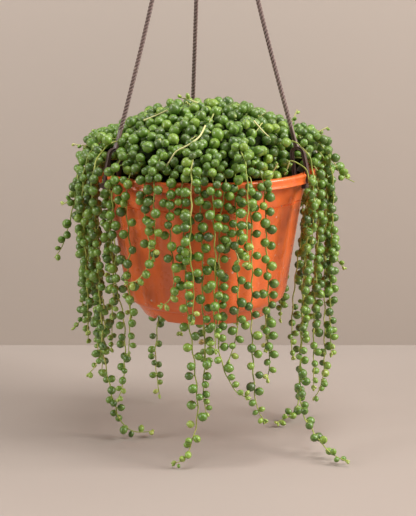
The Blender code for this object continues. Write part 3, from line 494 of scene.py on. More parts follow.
def strand_group(swept_bar):
    """Sweeps the stems of a strand and sets a pearl on each of its loose points."""
    tree = Group("pearl_strand", "Geometry", Geometry="Geometry", Pearl="Object", Stem_Sides=STEM_SIDES,
                 Pearl_Material="Material", Stem_Material="Material")
    given = tree.given
    split = tree.add("SeparateGeometry", given["Geometry"], Selection=tree.stored("pearl", "BOOLEAN"))
    seats = tree.step("MeshToPoints", split["Selection"])
    pearl = tree.add("ObjectInfo", given["Pearl"])["Geometry"]
    aimed = tree.step("AlignRotationToVector", Vector=tree.stored("aim", "FLOAT_VECTOR"), axis="Z")
    rolled = tree.step("AxisAngleToRotation", Axis=(0.0, 0.0, 1.0), Angle=tree.stored("roll"))
    turned_round = tree.step("RotateRotation", Rotation=aimed, Rotate_By=rolled, rotation_space="LOCAL")
    pearls = tree.step("InstanceOnPoints", seats, Instance=pearl, Rotation=turned_round,
                       Scale=tree.stored("size", "FLOAT_VECTOR"))
    pearls = tree.step("RealizeInstances", pearls)
    pearls = tree.step("SetShadeSmooth", pearls, Shade_Smooth=True)
    pearls = tree.step("SetMaterial", pearls, Material=given["Pearl Material"])
    stems = tree.step("Group", node_tree=swept_bar.tree, Geometry=split["Inverted"],
                      Sides=given["Stem Sides"], Material=given["Stem Material"])
    tree.give(tree.joined(pearls, stems))
    return tree


def crumb_group():
    """Scatters crumbs of mixed sizes over the faces that carry a crumb share, with a fixed seed."""
    tree = Group("crumbs", "Geometry", Geometry="Geometry", Crumb="Object", Density=1.0, Smallest=1.0,
                 Largest=1.0, Seed=1, Material="Material")
    given = tree.given
    density = tree.maths("MULTIPLY", given["Density"], tree.stored("crumb_share"))
    points = tree.add("DistributePointsOnFaces", given["Geometry"], Density=density, Seed=given["Seed"],
                      distribute_method="RANDOM")["Points"]
    crumb = tree.add("ObjectInfo", given["Crumb"])["Geometry"]
    turn = tree.step("RandomValue", Min=(0.0, 0.0, 0.0), Max=(6.28, 6.28, 6.28), Seed=3,
                     data_type="FLOAT_VECTOR")
    share = tree.add("RandomValue", at={2: 0.0, 3: 1.0}, Seed=5, data_type="FLOAT")[1]
    spread = tree.maths("SUBTRACT", given["Largest"], given["Smallest"])
    size = tree.maths("MULTIPLY_ADD", tree.maths("POWER", share, 3.0), spread, given["Smallest"])
    crumbs = tree.step("InstanceOnPoints", points, Instance=crumb, Rotation=turn, Scale=size)
    shade = tree.add("RandomValue", at={2: 0.0, 3: 1.0}, Seed=9, data_type="FLOAT")[1]
    crumbs = tree.step("StoreNamedAttribute", crumbs, Name="tint", Value=shade, data_type="FLOAT",
                       domain="INSTANCE")
    crumbs = tree.step("RealizeInstances", crumbs)
    whole = tree.joined(crumbs, given["Geometry"])
    tree.give(tree.step("SetMaterial", whole, Material=given["Material"]))
    return tree


# Meshes

def linked(name, content):
    piece = bpy.data.objects.new(name, content)
    bpy.context.scene.collection.objects.link(piece)
    return piece


def applied(piece, **options):
    """Put the plain mesh that a piece's modifiers give in their place."""
    depsgraph = bpy.context.evaluated_depsgraph_get()
    shaped = piece.evaluated_get(depsgraph)
    mesh = bpy.data.meshes.new_from_object(shaped, depsgraph=depsgraph, **options)
    piece.modifiers.clear()
    piece.data = mesh


def seed_mesh(name, points, edges, faces=(), **values):
    """A mesh in millimetres whose points carry named values for a tree to read."""
    mesh = bpy.data.meshes.new(name)
    mesh.from_pydata((np.asarray(points, float) * MM).tolist(), edges, faces)
    for key, value in values.items():
        carry(mesh, key, value)
    return mesh


def carry(mesh, key, value):
    """Give a mesh's points a named value: yes or no, a number or a vector each."""
    value = np.asarray(value)
    if value.dtype == bool:
        kind, field = "BOOLEAN", "value"
    else:
        value = value.astype(np.float32)
        kind, field = ("FLOAT", "value") if value.ndim == 1 else ("FLOAT_VECTOR", "vector")
    mesh.attributes.new(key, kind, "POINT").data.foreach_set(field, value.ravel())


def finish_mesh(mesh, material, smooth_angle):
    mesh.materials.clear()
    mesh.materials.append(material)
    mesh.shade_smooth()
    mesh.set_sharp_from_angle(angle=math.radians(smooth_angle))


def bmesh_piece(name, bm, material, smooth_angle=SMOOTH_ANGLE):
    """An object in metres from a bmesh in millimetres."""
    bmesh.ops.scale(bm, vec=(MM, MM, MM), verts=bm.verts)
    mesh = bpy.data.meshes.new(name)
    bm.to_mesh(mesh)
    bm.free()
    finish_mesh(mesh, material, smooth_angle)
    return linked(name, mesh)


def bands(rows):
    """Corners of the faces between rings of points; a row of a single point closes the shape there."""
    for lower, upper in pairs(rows):
        sides = max(len(lower), len(upper))
        for side in range(sides):
            after = (side + 1) % sides
            corners = (lower[side % len(lower)], lower[after % len(lower)], upper[after % len(upper)],
                       upper[side % len(upper)])
            yield tuple(dict.fromkeys(corners))


def skinned(rows):
    """A closed bmesh over rings of points; an end that is no single point gets a face."""
    bm = bmesh.new()
    rows = [[bm.verts.new(point) for point in row] for row in rows]
    for corners in bands(rows):
        bm.faces.new(corners)
    for end in (rows[0][::-1], rows[-1]):
        if len(end) > 1:
            bm.faces.new(end)
    bmesh.ops.recalc_face_normals(bm, faces=bm.faces)
    return bm


def turned(profile, sides, radius_at=None, centre=(0.0, 0.0), lift=-RIM_DROP):
    """A closed bmesh turned round an upright axis from (radius, height) points, both ends on the axis."""
    rows = []
    for row, (radius, height) in enumerate(profile):
        angles = [2.0 * math.pi * side / sides for side in range(sides)] if radius > 1e-9 else [0.0]
        radii = [radius_at(row, radius, angle) if radius_at else radius for angle in angles]
        rows.append([(centre[0] + here * math.cos(angle), centre[1] + here * math.sin(angle), height + lift)
                     for here, angle in zip(radii, angles)])
    return skinned(rows)


def ball(name, profile, sides):
    """A small ball of a (radius, height) profile about Z; its points keep their place as pearl_local."""
    bm = turned(profile, sides, lift=0.0)
    mesh = bpy.data.meshes.new(name)
    bm.to_mesh(mesh)
    bm.free()
    carry(mesh, "pearl_local", [tuple(vert.co) for vert in mesh.vertices])
    return linked(name, mesh)


def block(azimuth, radius, height, size, bevel=0.0):
    """A box set square to an azimuth; size is (radial, across, upright)."""
    bm = bmesh.new()
    place = Matrix.Translation(polar(azimuth, radius, height))
    turn = Matrix.Rotation(math.radians(azimuth), 4, "Z")
    bmesh.ops.create_cube(bm, size=1.0, matrix=place @ turn @ Matrix.Diagonal((*size, 1.0)))
    if bevel:
        bmesh.ops.bevel(bm, geom=bm.edges[:], offset=bevel, segments=3, profile=0.5, affect="EDGES")
    return bm


def rod(start, end, radius, sides):
    """A straight round bar between two points."""
    bm = bmesh.new()
    along = end - start
    turn = along.to_track_quat("Z", "Y").to_matrix().to_4x4()
    bmesh.ops.create_cone(bm, cap_ends=True, segments=sides, radius1=radius, radius2=radius,
                          depth=along.length, matrix=Matrix.Translation((start + end) / 2.0) @ turn)
    return bm


def strip_outline(half, width, corner, groove_depth=0.0):
    """Rounded oblong of (thickness, width) points; its two side faces may carry a groove."""
    reach = width / 2.0
    flat = half - corner
    points = []
    for turn, (across, along) in enumerate(((half, reach), (-half, reach), (-half, -reach), (half, -reach))):
        points += arc(across - math.copysign(corner, across), along - math.copysign(corner, along), corner,
                      [90.0 * turn + 22.5 * step for step in range(5)])
        if groove_depth and turn in (0, 2):
            side = 1.0 - turn
            for step in range(1, GROOVE_STEPS):
                share = step / GROOVE_STEPS
                dip = groove_depth * 0.5 * (1.0 - math.cos(2.0 * math.pi * share))
                points.append((side * flat * (1.0 - 2.0 * share), side * (reach - dip)))
    return points


def strip(line, outline, azimuth):
    """A strip bent in the upright plane at an azimuth: an outline swept along (radius, height) points."""
    line = [Vector(point) for point in line]
    rows = []
    for index, point in enumerate(line):
        before = (point - line[index - 1]).normalized() if index else (line[1] - point).normalized()
        after = (line[index + 1] - point).normalized() if index < len(line) - 1 else before
        square = Vector((-before.y - after.y, before.x + after.x)).normalized()
        stretch = 1.0 / max(square.dot(Vector((-before.y, before.x))), 0.4)
        places = [(point + square * (thick * stretch), wide) for thick, wide in outline]
        rows.append([polar(azimuth, place.x, place.y, wide) for place, wide in places])
    return skinned(rows)


def cut(piece, shapes):
    """Take shapes out of a piece with an exact Boolean."""
    material = piece.data.materials[0]
    group = bpy.data.collections.new("cutters")
    bpy.context.scene.collection.children.link(group)
    for shape in shapes:
        tool = bmesh_piece("cutter", shape, material)
        bpy.context.scene.collection.objects.unlink(tool)
        group.objects.link(tool)
    modifier = piece.modifiers.new("cut", "BOOLEAN")
    modifier.operation = "DIFFERENCE"
    modifier.solver = "EXACT"
    modifier.operand_type = "COLLECTION"
    modifier.collection = group
    applied(piece)
    finish_mesh(piece.data, material, SMOOTH_ANGLE)
    for tool in list(group.objects):
        bpy.data.objects.remove(tool)
    bpy.data.collections.remove(group)


def merged(name, pieces):
    """One object from several, each with its own materials kept."""
    with bpy.context.temp_override(active_object=pieces[0], object=pieces[0], selected_objects=pieces,
                                   selected_editable_objects=pieces):
        bpy.ops.object.join()
    pieces[0].name = name
    pieces[0].data.name = name
    return pieces[0]


def finished(piece, slot, *nodes):
    """Fix a piece to the object and hide the solids that it stands for; the slot is not used."""
    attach(piece, "root")
    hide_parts(*nodes)


# Materials

def srgb(red, green, blue):
    """A colour given in the usual 0 to 255 steps, as shaders take it."""
    steps = [value / 255.0 for value in (red, green, blue)]
    return tuple(((step + 0.055) / 1.055) ** 2.4 if step > 0.04 else step / 12.92 for step in steps) + (1.0,)


def make_mottle():
    """Soft blotches in the object's own space."""
    tree = Group("mottle", "Float", Scale=50.0, Detail=3.0, Low=0.35, High=0.65)
    place = tree.add("TexCoord")["Object"]
    noise = tree.step("TexNoise", Vector=place, Scale=tree.given["Scale"], Detail=tree.given["Detail"])
    tree.give(tree.step("MapRange", noise, tree.given["Low"], tree.given["High"]))


def make_specks():
    """Small scattered specks: the share of cells that carry one, and their size."""
    tree = Group("specks", "Float", Scale=400.0, Share=0.1, Size=0.25)
    place = tree.add("TexCoord")["Object"]
    cells = tree.add("TexVoronoi", Vector=place, Scale=tree.given["Scale"])
    parts = tree.add("SeparateColor", cells["Color"])
    picked = tree.maths("LESS_THAN", parts[0], tree.given["Share"])
    reach = tree.maths("MULTIPLY", tree.given["Size"], tree.maths("ADD", parts[1], 0.3))
    tree.give(tree.maths("MULTIPLY", picked, tree.maths("LESS_THAN", cells["Distance"], reach)))


def make_relief():
    """Fine and broad unevenness, for the height of a bump."""
    tree = Group("relief", "Float", Fine=600.0, Broad=60.0, Share=0.5)
    place = tree.add("TexCoord")["Object"]
    fine, broad = (tree.step("TexNoise", Vector=place, Scale=tree.given[key], Detail=2.0)
                   for key in ("Fine", "Broad"))
    tree.give(tree.step("Mix", at={0: tree.given["Share"], 2: fine, 3: broad}))


class Finish(Tree):
    """A material with its shader and its groups; colours are (red, green, blue) or sockets."""

    def __init__(self, name, roughness, **constants):
        self.material = bpy.data.materials.new(name)
        self.material.use_nodes = True
        super().__init__(self.material.node_tree)
        self.shader = self.tree.nodes["Principled BSDF"]
        self.shader.inputs["Roughness"].default_value = roughness
        for key, value in constants.items():
            self.shader.inputs[key.replace("_", " ")].default_value = value

    def feed(self, key, socket):
        self.tree.links.new(socket, self.shader.inputs[key])

    def group(self, name, **values):
        return self.step("Group", node_tree=bpy.data.node_groups[name], **values)

    def carried(self, name):
        """A named value that the mesh carries."""
        return self.add("Attribute", attribute_name=name)

    def ranged(self, value, low, high, start=0.0, end=1.0):
        return self.step("MapRange", value, low, high, start, end)

    def blend(self, share, first, second):
        """One colour laid over another by a share from 0 to 1."""
        under, over = (srgb(*colour) if isinstance(colour, tuple) else colour for colour in (first, second))
        return self.add("Mix", at={0: share, 6: under, 7: over}, data_type="RGBA")[2]

    def laid(self, colour, over, strength, group, **values):
        """Lay a second colour over the first where a group's mask shows."""
        return self.blend(self.maths("MULTIPLY", self.group(group, **values), strength), colour, over)

    def ramp(self, value, *stops):
        """Colours along a value, from (place, red, green, blue) stops."""
        made = self.step("ValToRGB", value)
        band = made.node.color_ramp
        while len(band.elements) < len(stops):
            band.elements.new(0.5)
        for element, (place, *colour) in zip(band.elements, stops):
            element.position = place
            element.color = srgb(*colour)
        return made

    def roughness(self, low, high, **mottle):
        self.feed("Roughness", self.ranged(self.group("mottle", **mottle), 0.0, 1.0, low, high))

    def bump(self, strength, distance, **relief):
        height = self.group("relief", **relief)
        self.feed("Normal", self.step("Bump", Strength=strength, Distance=distance, Height=height))


def pearl_skin():
    """Waxy green skin: tint by pearl, pale bloom, a dark window line, a dry tip and a pale petiole."""
    skin = Finish("pearl_skin", 0.38, Subsurface_Weight=0.15, Subsurface_Radius=(0.6, 1.0, 0.15),
                  Subsurface_Scale=0.0015, Specular_IOR_Level=0.85)
    colour = skin.ramp(skin.carried("tint")["Fac"], (0.0, 30, 54, 4), (0.3, 62, 100, 10),
                       (0.55, 94, 136, 25), (0.8, 134, 165, 48), (1.0, 178, 192, 88))
    colour = skin.laid(colour, (156, 176, 100), 0.3, "mottle", Scale=160.0, Low=0.3, High=0.8)
    place = skin.add("SeparateXYZ", skin.carried("pearl_local")["Vector"])
    line = skin.ranged(skin.maths("ABSOLUTE", place["X"]), 0.06, 0.2, 1.0, 0.0)
    line = skin.maths("MULTIPLY", line, skin.ranged(place["Y"], 0.0, 0.15))
    line = skin.maths("MULTIPLY", line, skin.ranged(place["Z"], -0.7, -0.4))
    colour = skin.blend(skin.maths("MULTIPLY", line, 0.6), colour, (34, 62, 26))
    colour = skin.blend(skin.ranged(place["Z"], 1.0, 1.16), colour, (146, 158, 84))
    colour = skin.blend(skin.ranged(place["Z"], -0.8, -1.05), colour, (160, 172, 84))
    withered = skin.ramp(skin.group("mottle", Scale=500.0), (0.0, 140, 110, 60), (1.0, 186, 168, 98))
    skin.feed("Base Color", skin.blend(skin.carried("dry")["Fac"], colour, withered))
    skin.roughness(0.34, 0.46, Scale=700.0, Low=0.3, High=0.7)
    skin.bump(0.25, 0.0002, Fine=1500.0, Broad=300.0)
    return skin.material


def stem_skin():
    """Pale yellow-green stems that turn brownish in places."""
    skin = Finish("stem_skin", 0.5, Sheen_Weight=0.05)
    colour = skin.ramp(skin.group("mottle", Scale=90.0, Detail=4.0, Low=0.3, High=0.72), (0.0, 126, 146, 54),
                       (0.45, 160, 174, 76), (0.75, 192, 196, 108), (1.0, 164, 142, 80))
    skin.feed("Base Color", skin.blend(skin.carried("tint")["Fac"], colour, (216, 212, 148)))
    skin.bump(0.4, 0.0002, Fine=1800.0, Broad=400.0)
    return skin.material


def pot_plastic():
    """Terracotta plastic: slight blotches, pale specks of dust and splashes, a soft sheen."""
    skin = Finish("pot_plastic", 0.3, Specular_IOR_Level=0.8)
    colour = skin.blend(skin.group("mottle", Scale=22.0, Detail=5.0), (244, 115, 47), (232, 105, 41))
    colour = skin.laid(colour, (226, 132, 88), 0.25, "mottle", Scale=140.0, Detail=6.0, Low=0.5, High=0.8)
    colour = skin.laid(colour, (232, 214, 200), 0.6, "specks", Scale=520.0, Share=0.03, Size=0.34)
    colour = skin.laid(colour, (96, 40, 26), 0.6, "specks", Scale=260.0, Share=0.02, Size=0.3)
    skin.feed("Base Color", colour)
    skin.roughness(0.24, 0.36, Scale=60.0, Detail=4.0)
    skin.bump(0.12, 0.0003, Fine=900.0, Broad=40.0, Share=0.3)
    return skin.material


def hanger_plastic():
    """Dark brown moulded plastic with worn, paler blotches, and a painted highlight that lightens the rope's
    ridges.
    """
    skin = Finish("hanger_plastic", 0.4, Specular_IOR_Level=0.5)
    colour = skin.blend(skin.group("mottle", Scale=70.0, Detail=5.0), (72, 53, 49), (92, 71, 66))
    # Painted highlight: the rope's ridges are lightened by the stored lobe share.
    colour = skin.blend(skin.ranged(skin.carried("ridge")["Fac"], 0.3, 1.0), colour, (132, 110, 103))
    colour = skin.laid(colour, (170, 152, 138), 0.5, "specks", Scale=500.0, Share=0.03, Size=0.4)
    skin.feed("Base Color", colour)
    skin.roughness(0.34, 0.5, Scale=200.0)
    skin.bump(0.2, 0.0002, Fine=1200.0, Broad=150.0)
    return skin.material


def earth():
    """Dark potting mix with brown fibres and pale grit."""
    skin = Finish("earth", 0.95)
    colour = skin.ramp(skin.carried("tint")["Fac"], (0.0, 34, 25, 19), (0.5, 60, 44, 33), (0.86, 92, 68, 48),
                       (0.93, 150, 134, 112), (1.0, 206, 196, 178))
    skin.feed("Base Color", skin.laid(colour, (24, 17, 13), 0.6, "mottle", Scale=900.0, Detail=4.0))
    skin.bump(0.8, 0.0005, Fine=2500.0, Broad=700.0)
    return skin.material


def shade_tissue():
    """The mass of stems and leaves deep in the crown; its near-black colour is painted shade."""
    skin = Finish("shade_tissue", 0.9, Specular_IOR_Level=0.1)
    # Painted shade: near-black greens that darken the gaps between the crown's pearls.
    skin.feed("Base Color", skin.ramp(skin.group("mottle", Scale=260.0, Detail=5.0, Low=0.25, High=0.75),
                                      (0.0, 10, 14, 5), (0.6, 24, 34, 10), (1.0, 58, 62, 26)))
    skin.bump(1.0, 0.001, Fine=900.0, Broad=250.0)
    return skin.material


# The pot

def flute_share(depth):
    """How much of the flutes' depth shows at a depth below the rim; they fade at both ends."""
    fade_in = limited((depth - FLUTE_TOP) / TOP_FADE)
    fade_out = limited((FLUTE_FOOT - depth) / FOOT_FADE)
    share = fade_in * fade_out
    return share * share * (3.0 - 2.0 * share)


def near(radius, height, *offsets):
    """Points of an outline, given by how far out and up they lie from one place."""
    return [(radius + out, height + up) for out, up in offsets]


def pot_outline():
    """Outline of the pot: out and up from the middle of its underside, and from the rim's band back down."""
    floor_top = FLOOR_UNDER + WALL_THICKNESS
    step_radius = wall_radius(STEP_DEPTH)
    skirt = RIM_RADIUS - BAND_THICKNESS
    foot = FOOT_RADIUS - FOOT_WIDTH
    outside = [(0.0, FLOOR_UNDER)] + near(foot, FLOOR_UNDER, (-1.0, 0.0), (-0.2, -0.4))
    outside += near(foot, -POT_HEIGHT, (0.0, 0.5), (0.4, 0.0))
    outside += near(FOOT_RADIUS, -POT_HEIGHT, (-0.6, 0.0), (0.1, 0.5))
    outside += near(SEAM_RADIUS, -SEAM_DEPTH, (-0.9, -0.7), (-0.5, -0.15), (-0.3, 0.1), (0.4, 0.1),
                    (1.6, 0.7), (3.1, 1.8), (4.3, 3.1), (5.2, 4.8))
    outside += near(wall_radius(WALL_END), -WALL_END, (0.25, 2.0))
    outside += [(wall_radius(depth), -depth) for depth in np.arange(WALL_END - 4.0, STEP_DEPTH + 1.0, -3.0)]
    outside += near(step_radius, -STEP_DEPTH, (0.0, -1.0), (-0.55, -0.75), (-0.55, -0.2),
                    (STEP_SIZE - 0.1, 0.1), (STEP_SIZE, 0.5))
    outside += [(wall_radius(depth) + STEP_SIZE, -depth)
                for depth in np.arange(STEP_DEPTH - 2.0, RIM_THICKNESS + 0.5, -2.0)]
    outside += [(wall_radius(RIM_THICKNESS) + STEP_SIZE, -RIM_THICKNESS)]
    rim = [(skirt, -RIM_THICKNESS)] + near(skirt, -BAND_HEIGHT, (0.0, 0.3), (0.3, 0.0))
    rim += near(RIM_RADIUS, -BAND_HEIGHT, (-0.35, 0.0), (-0.05, 0.35), (-0.1, 0.9), (-0.4, 1.7))
    rim += near(RIM_RADIUS, 0.0, (-0.5, -3.6), (-0.3, -2.6), (0.0, -1.7), (-0.05, -1.0), (-0.35, -0.4),
                (-0.9, -0.05), (-1.8, 0.0))
    rim += near(RIM_TOP_INNER, 0.0, (1.0, -0.1), (0.0, -0.45), (-0.8, -1.2))
    inside = [(wall_radius(depth) - WALL_THICKNESS, -depth) for depth in (4.0, WALL_END)]
    return outside, rim + inside + [(FLOOR_RADIUS, floor_top), (0.0, floor_top)]


def make_pot(plastic):
    """The fluted pot, with its rim notches, foot arches and drain holes cut out of it."""
    outside, inside = pot_outline()

    def fluted(row, radius, angle):
        if row >= len(outside):
            return radius
        return radius - FLUTE_DEPTH * 0.5 * flute_share(-outside[row][1]) * (1.0 - math.cos(FLUTES * angle))

    pot = bmesh_piece("fluted_pot", turned(outside + inside, POT_SIDES, fluted), plastic)
    reach = 12.0
    middle = wall_radius(0.0) + STEP_SIZE + RIM_NOTCH_STANDOFF + reach / 2.0
    shapes = [block(azimuth, middle, -BAND_HEIGHT / 2.0, (reach, RIM_NOTCH, BAND_HEIGHT + 4.0))
              for azimuth in ARM_AZIMUTHS.values()]
    for azimuth in FOOT_NOTCHES:
        inner, outer = (polar(azimuth, FOOT_RADIUS + side * 8.0, -POT_HEIGHT - 3.0) for side in (-1.0, 1.0))
        shapes.append(rod(inner, outer, FOOT_NOTCH_RADIUS, 48))
    for count in range(DRAIN_HOLES):
        under = polar(30.0 + 360.0 * count / DRAIN_HOLES, DRAIN_CIRCLE, -POT_HEIGHT)
        shapes.append(rod(under, under + UP * 12.0, DRAIN_RADIUS, 24))
    cut(pot, shapes)
    finished(pot, "pot", "pot")


def wave_sum(draw, count, slowest, fastest):
    """An uneven surface: the sum of seeded waves in x and y."""
    waves = [(draw.uniform(slowest, fastest), draw.uniform(0.0, 6.28), draw.uniform(0.0, 6.28))
             for _ in range(count)]
    return lambda x, y: sum(math.sin(x * size + shift) * math.cos(y * size + other)
                            for size, shift, other in waves)


def make_soil(material, crumbs):
    """Uneven potting mix that fills the pot, with crumbs on its open ring."""
    floor = FLOOR_UNDER + WALL_THICKNESS + GAP
    inset = WALL_THICKNESS + GAP + 0.05
    bumps = wave_sum(random.Random(SOIL_SEED), 14, 0.08, 0.4)
    rings = [(FLOOR_RADIUS - GAP, floor), (wall_radius(WALL_END) - inset, -WALL_END),
             (wall_radius(6.5) - inset, -6.5)]
    smooth_rings = len(rings)
    rings += [(radius, -6.3 + 1.2 * math.sin(math.pi * (65.0 - radius) / 24.0))
              for radius in np.arange(64.0, 41.0, -1.0)]
    points = [(0.0, 0.0, floor - RIM_DROP)]
    rows = [[0]]
    for number, (radius, height) in enumerate(rings):
        rows.append(range(len(points), len(points) + SOIL_SIDES))
        for side in range(SOIL_SIDES):
            angle = 2.0 * math.pi * side / SOIL_SIDES
            x, y = radius * math.cos(angle), radius * math.sin(angle)
            rise = bumps(x, y) * 0.16 if number >= smooth_rings else 0.0
            points.append((x, y, height - RIM_DROP + rise))
    rows.append([len(points)])
    points.append((0.0, 0.0, rings[-1][1] - RIM_DROP))
    share = [1.0 if height > -RIM_DROP - 7.0 and math.hypot(x, y) > 45.0 else 0.0 for x, y, height in points]
    seed = seed_mesh("potting_mix", points, [], list(bands(rows)), crumb_share=share,
                     tint=np.full(len(points), 0.25))
    outline = [(math.sin(math.pi * row / 3), -math.cos(math.pi * row / 3)) for row in range(4)]
    crumb = ball("crumb", outline, 5)
    soil = crumbs.grown("potting_mix", seed, Crumb=crumb, Density=350000.0, Smallest=0.0004, Largest=0.0016,
                        Seed=12, Material=material)
    bpy.data.objects.remove(crumb)
    finished(soil, "soil", "soil")


# The hanger

def hook_line():
    """Middle line of the hook, as (x, height above the rim): up from the cap, round and to its tip."""
    arc_radius = HOOK_INNER + HOOK_THICKNESS / 2.0
    middle = RIM_DROP - HOOK_INNER
    line = near(0.0, CAP_TOP, (0.0, -2.0), (0.0, 3.0), (-0.9, 5.6), (-2.6, 8.2), (-5.2, 11.2), (-8.3, 14.4),
                (-11.0, 17.4), (-13.0, 20.4), (-13.9, 23.4), (-arc_radius, 27.0), (-arc_radius, 31.0))
    return (line + arc(0.0, middle, arc_radius, range(174, -1, -6))
            + near(arc_radius, middle, (0.1, -3.0), (0.8, -6.0), (2.0, -9.0)))


def make_hook(plastic):
    """The hook cap: a rounded strip on a plate with three slots."""
    edge = 0.5
    bottom = CAP_TOP - CAP_THICKNESS
    profile = [(0.0, bottom)] + near(CAP_RADIUS, bottom, (-edge, 0.0), (-0.15, 0.15), (0.0, edge))
    profile += near(CAP_RADIUS, CAP_TOP, (0.0, -edge), (-0.15, -0.15), (-edge, 0.0))
    profile += near(0.0, CAP_TOP, (6.4, 0.0), (5.9, 0.1), (5.2, 0.7), (0.0, 0.7))
    plate = bmesh_piece("hook_cap", turned(profile, 96), plastic)
    reach = 14.0
    middle = arm_radius_at(CAP_TOP) - ARM_RADIUS - 0.8 + reach / 2.0
    cut(plate, [block(azimuth, middle, CAP_TOP - CAP_THICKNESS / 2.0, (reach, 2.0 * (ARM_RADIUS + GAP), 8.0))
                for azimuth in ARM_AZIMUTHS.values()])
    outline = strip_outline(HOOK_THICKNESS / 2.0 - 0.02, HOOK_WIDTH, 0.9)
    hook = bmesh_piece("hook_strip", strip(hook_line(), outline, 0.0), plastic)
    finished(merged("hook_cap", [plate, hook]), "hanger", "hook")


def clip_line():
    """Middle line of the solids' clip, which straddles the rim, as (radius, height)."""
    half = LEG_SPACING / 2.0
    outer, inner = ARM_FOOT_RADIUS + half, ARM_FOOT_RADIUS - half
    line = [(outer, -BAND_HEIGHT - GAP - BAR_SIZE), (outer, 0.0), (outer, LEG_TOP)]
    line += arc(ARM_FOOT_RADIUS, LEG_TOP, half, range(15, 180, 15))
    return line + [(inner, LEG_TOP), (inner, INNER_LEG_END)]


def strap_line():
    """Middle line of the clip's strap as it is seen: a close arch whose legs part towards the rim."""
    outer = ARM_FOOT_RADIUS + LEG_SPACING / 2.0
    line = [(outer, -BAND_HEIGHT - GAP - BAR_SIZE)] + near(outer, 0.0, (0.0, -3.0), (-0.5, 1.0), (-1.5, 6.0))
    return (line + arc(ROPE_FOOT + 0.9, LEG_TOP, ARCH_REACH, range(0, 180, 15))
            + near(ROPE_FOOT, 0.0, (-3.1, 11.0), (-2.2, 5.0), (-1.4, INNER_LEG_END)))


def rope_place(azimuth, height):
    """Middle of an arm's bar at a height, slightly bowed towards the axis."""
    share = (height - ARM_FOOT_HEIGHT) / (CAP_TOP - ARM_FOOT_HEIGHT)
    radius = ROPE_FOOT + (arm_radius_at(CAP_TOP) - ROPE_FOOT) * share - ROPE_BOW * math.sin(math.pi * share)
    return polar(azimuth, radius, height)


def make_rope(name, azimuth, plastic, swept_bar):
    """The arm's bar: three twisted strands that run side by side just above the clip."""
    top = CAP_TOP + GAP + 1.0
    low = ARM_FOOT_HEIGHT - 1.5
    steps = int((top - low) / ROPE_STEP)
    heights = [low + (top - low) * step / steps for step in range(steps + 1)]
    untwisted = ARM_FOOT_HEIGHT + STRAIGHT_LENGTH
    twist = [2.0 * math.pi * max(height - untwisted, 0.0) / ROPE_TWIST for height in heights]
    thick = [(ROPE_RADIUS + 0.5 * max(0.0, 1.0 - (height - low) / 6.0)) * MM for height in heights]
    seed = seed_mesh(name, [rope_place(azimuth, height) for height in heights],
                     [(step, step + 1) for step in range(steps)], thickness=thick, tilt=twist)
    return swept_bar.grown(name, seed, Sides=24, Lobes=3.0, Lobe_Depth=0.3, Material=plastic)


def make_arm(name, azimuth, plastic, swept_bar):
    """An arm: button head, rope-twisted bar, the clip's strap and its crossbar."""
    label = f"hanger_arm_{name}"
    base = CAP_TOP + GAP
    head = polar(azimuth, arm_radius_at(CAP_TOP), base)
    profile = [(0.0, base)] + near(ARM_HEAD_RADIUS, base, (-0.3, 0.0), (0.0, 0.3), (0.0, 1.2), (-0.4, 1.9),
                                   (-1.2, 2.3)) + [(0.0, base + ARM_HEAD_HEIGHT)]
    outline = strip_outline(STRAP_THICKNESS / 2.0, STRAP_WIDTH, 0.5, 0.5)
    crossbar = block(azimuth, ARM_FOOT_RADIUS + LEG_SPACING / 2.0, -BAND_HEIGHT - GAP - BAR_SIZE / 2.0,
                     (BAR_SIZE, BAR_LENGTH, BAR_SIZE), 0.6)
    parts = [make_rope(f"{label}_rope", azimuth, plastic, swept_bar)]
    for part, shape in (("head", turned(profile, 36, centre=(head.x, head.y))),
                        ("strap", strip(strap_line(), outline, azimuth)), ("crossbar", crossbar)):
        parts.append(bmesh_piece(f"{label}_{part}", shape, plastic))
    finished(merged(label, parts), "hanger", f"arm_{name}")


# The plant

def smooth_route(points, spacing=2.0):
    """Evenly spaced points along a smooth curve through the given ones."""
    ends = [points[0] * 2.0 - points[1]] + list(points) + [points[-1] * 2.0 - points[-2]]
    dense = []
    for before, start, end, after in zip(ends, ends[1:], ends[2:], ends[3:]):
        pieces = max(int((end - start).length / 0.5), 2)
        for piece in range(pieces):
            t = piece / pieces
            dense.append(0.5 * (2.0 * start + (end - before) * t
                                + (2.0 * before - 5.0 * start + 4.0 * end - after) * t * t
                                + (3.0 * start - before - 3.0 * end + after) * t * t * t))
    dense.append(points[-1])
    route = [dense[0]]
    travelled = 0.0
    for here, there in pairs(dense):
        travelled += (there - here).length
        if travelled >= spacing:
            route.append(there)
            travelled = 0.0
    if (route[-1] - dense[-1]).length < spacing / 2.0:
        route.pop()
    route.append(dense[-1])
    return route


def strand_route(azimuth, layer, bends):
    """From the crown over the rim, then hanging through the strand's own points."""
    points = [polar(azimuth, radius, height) for radius, height in LAYERS[layer]]
    radius = HANG_RADIUS[layer]
    if bends[0][0] > 12.0:
        points.append(polar(azimuth, radius, -9.0))
    points += [polar(azimuth, radius + outward, -drop, sideways) for drop, sideways, outward in bends]
    return smooth_route(points)


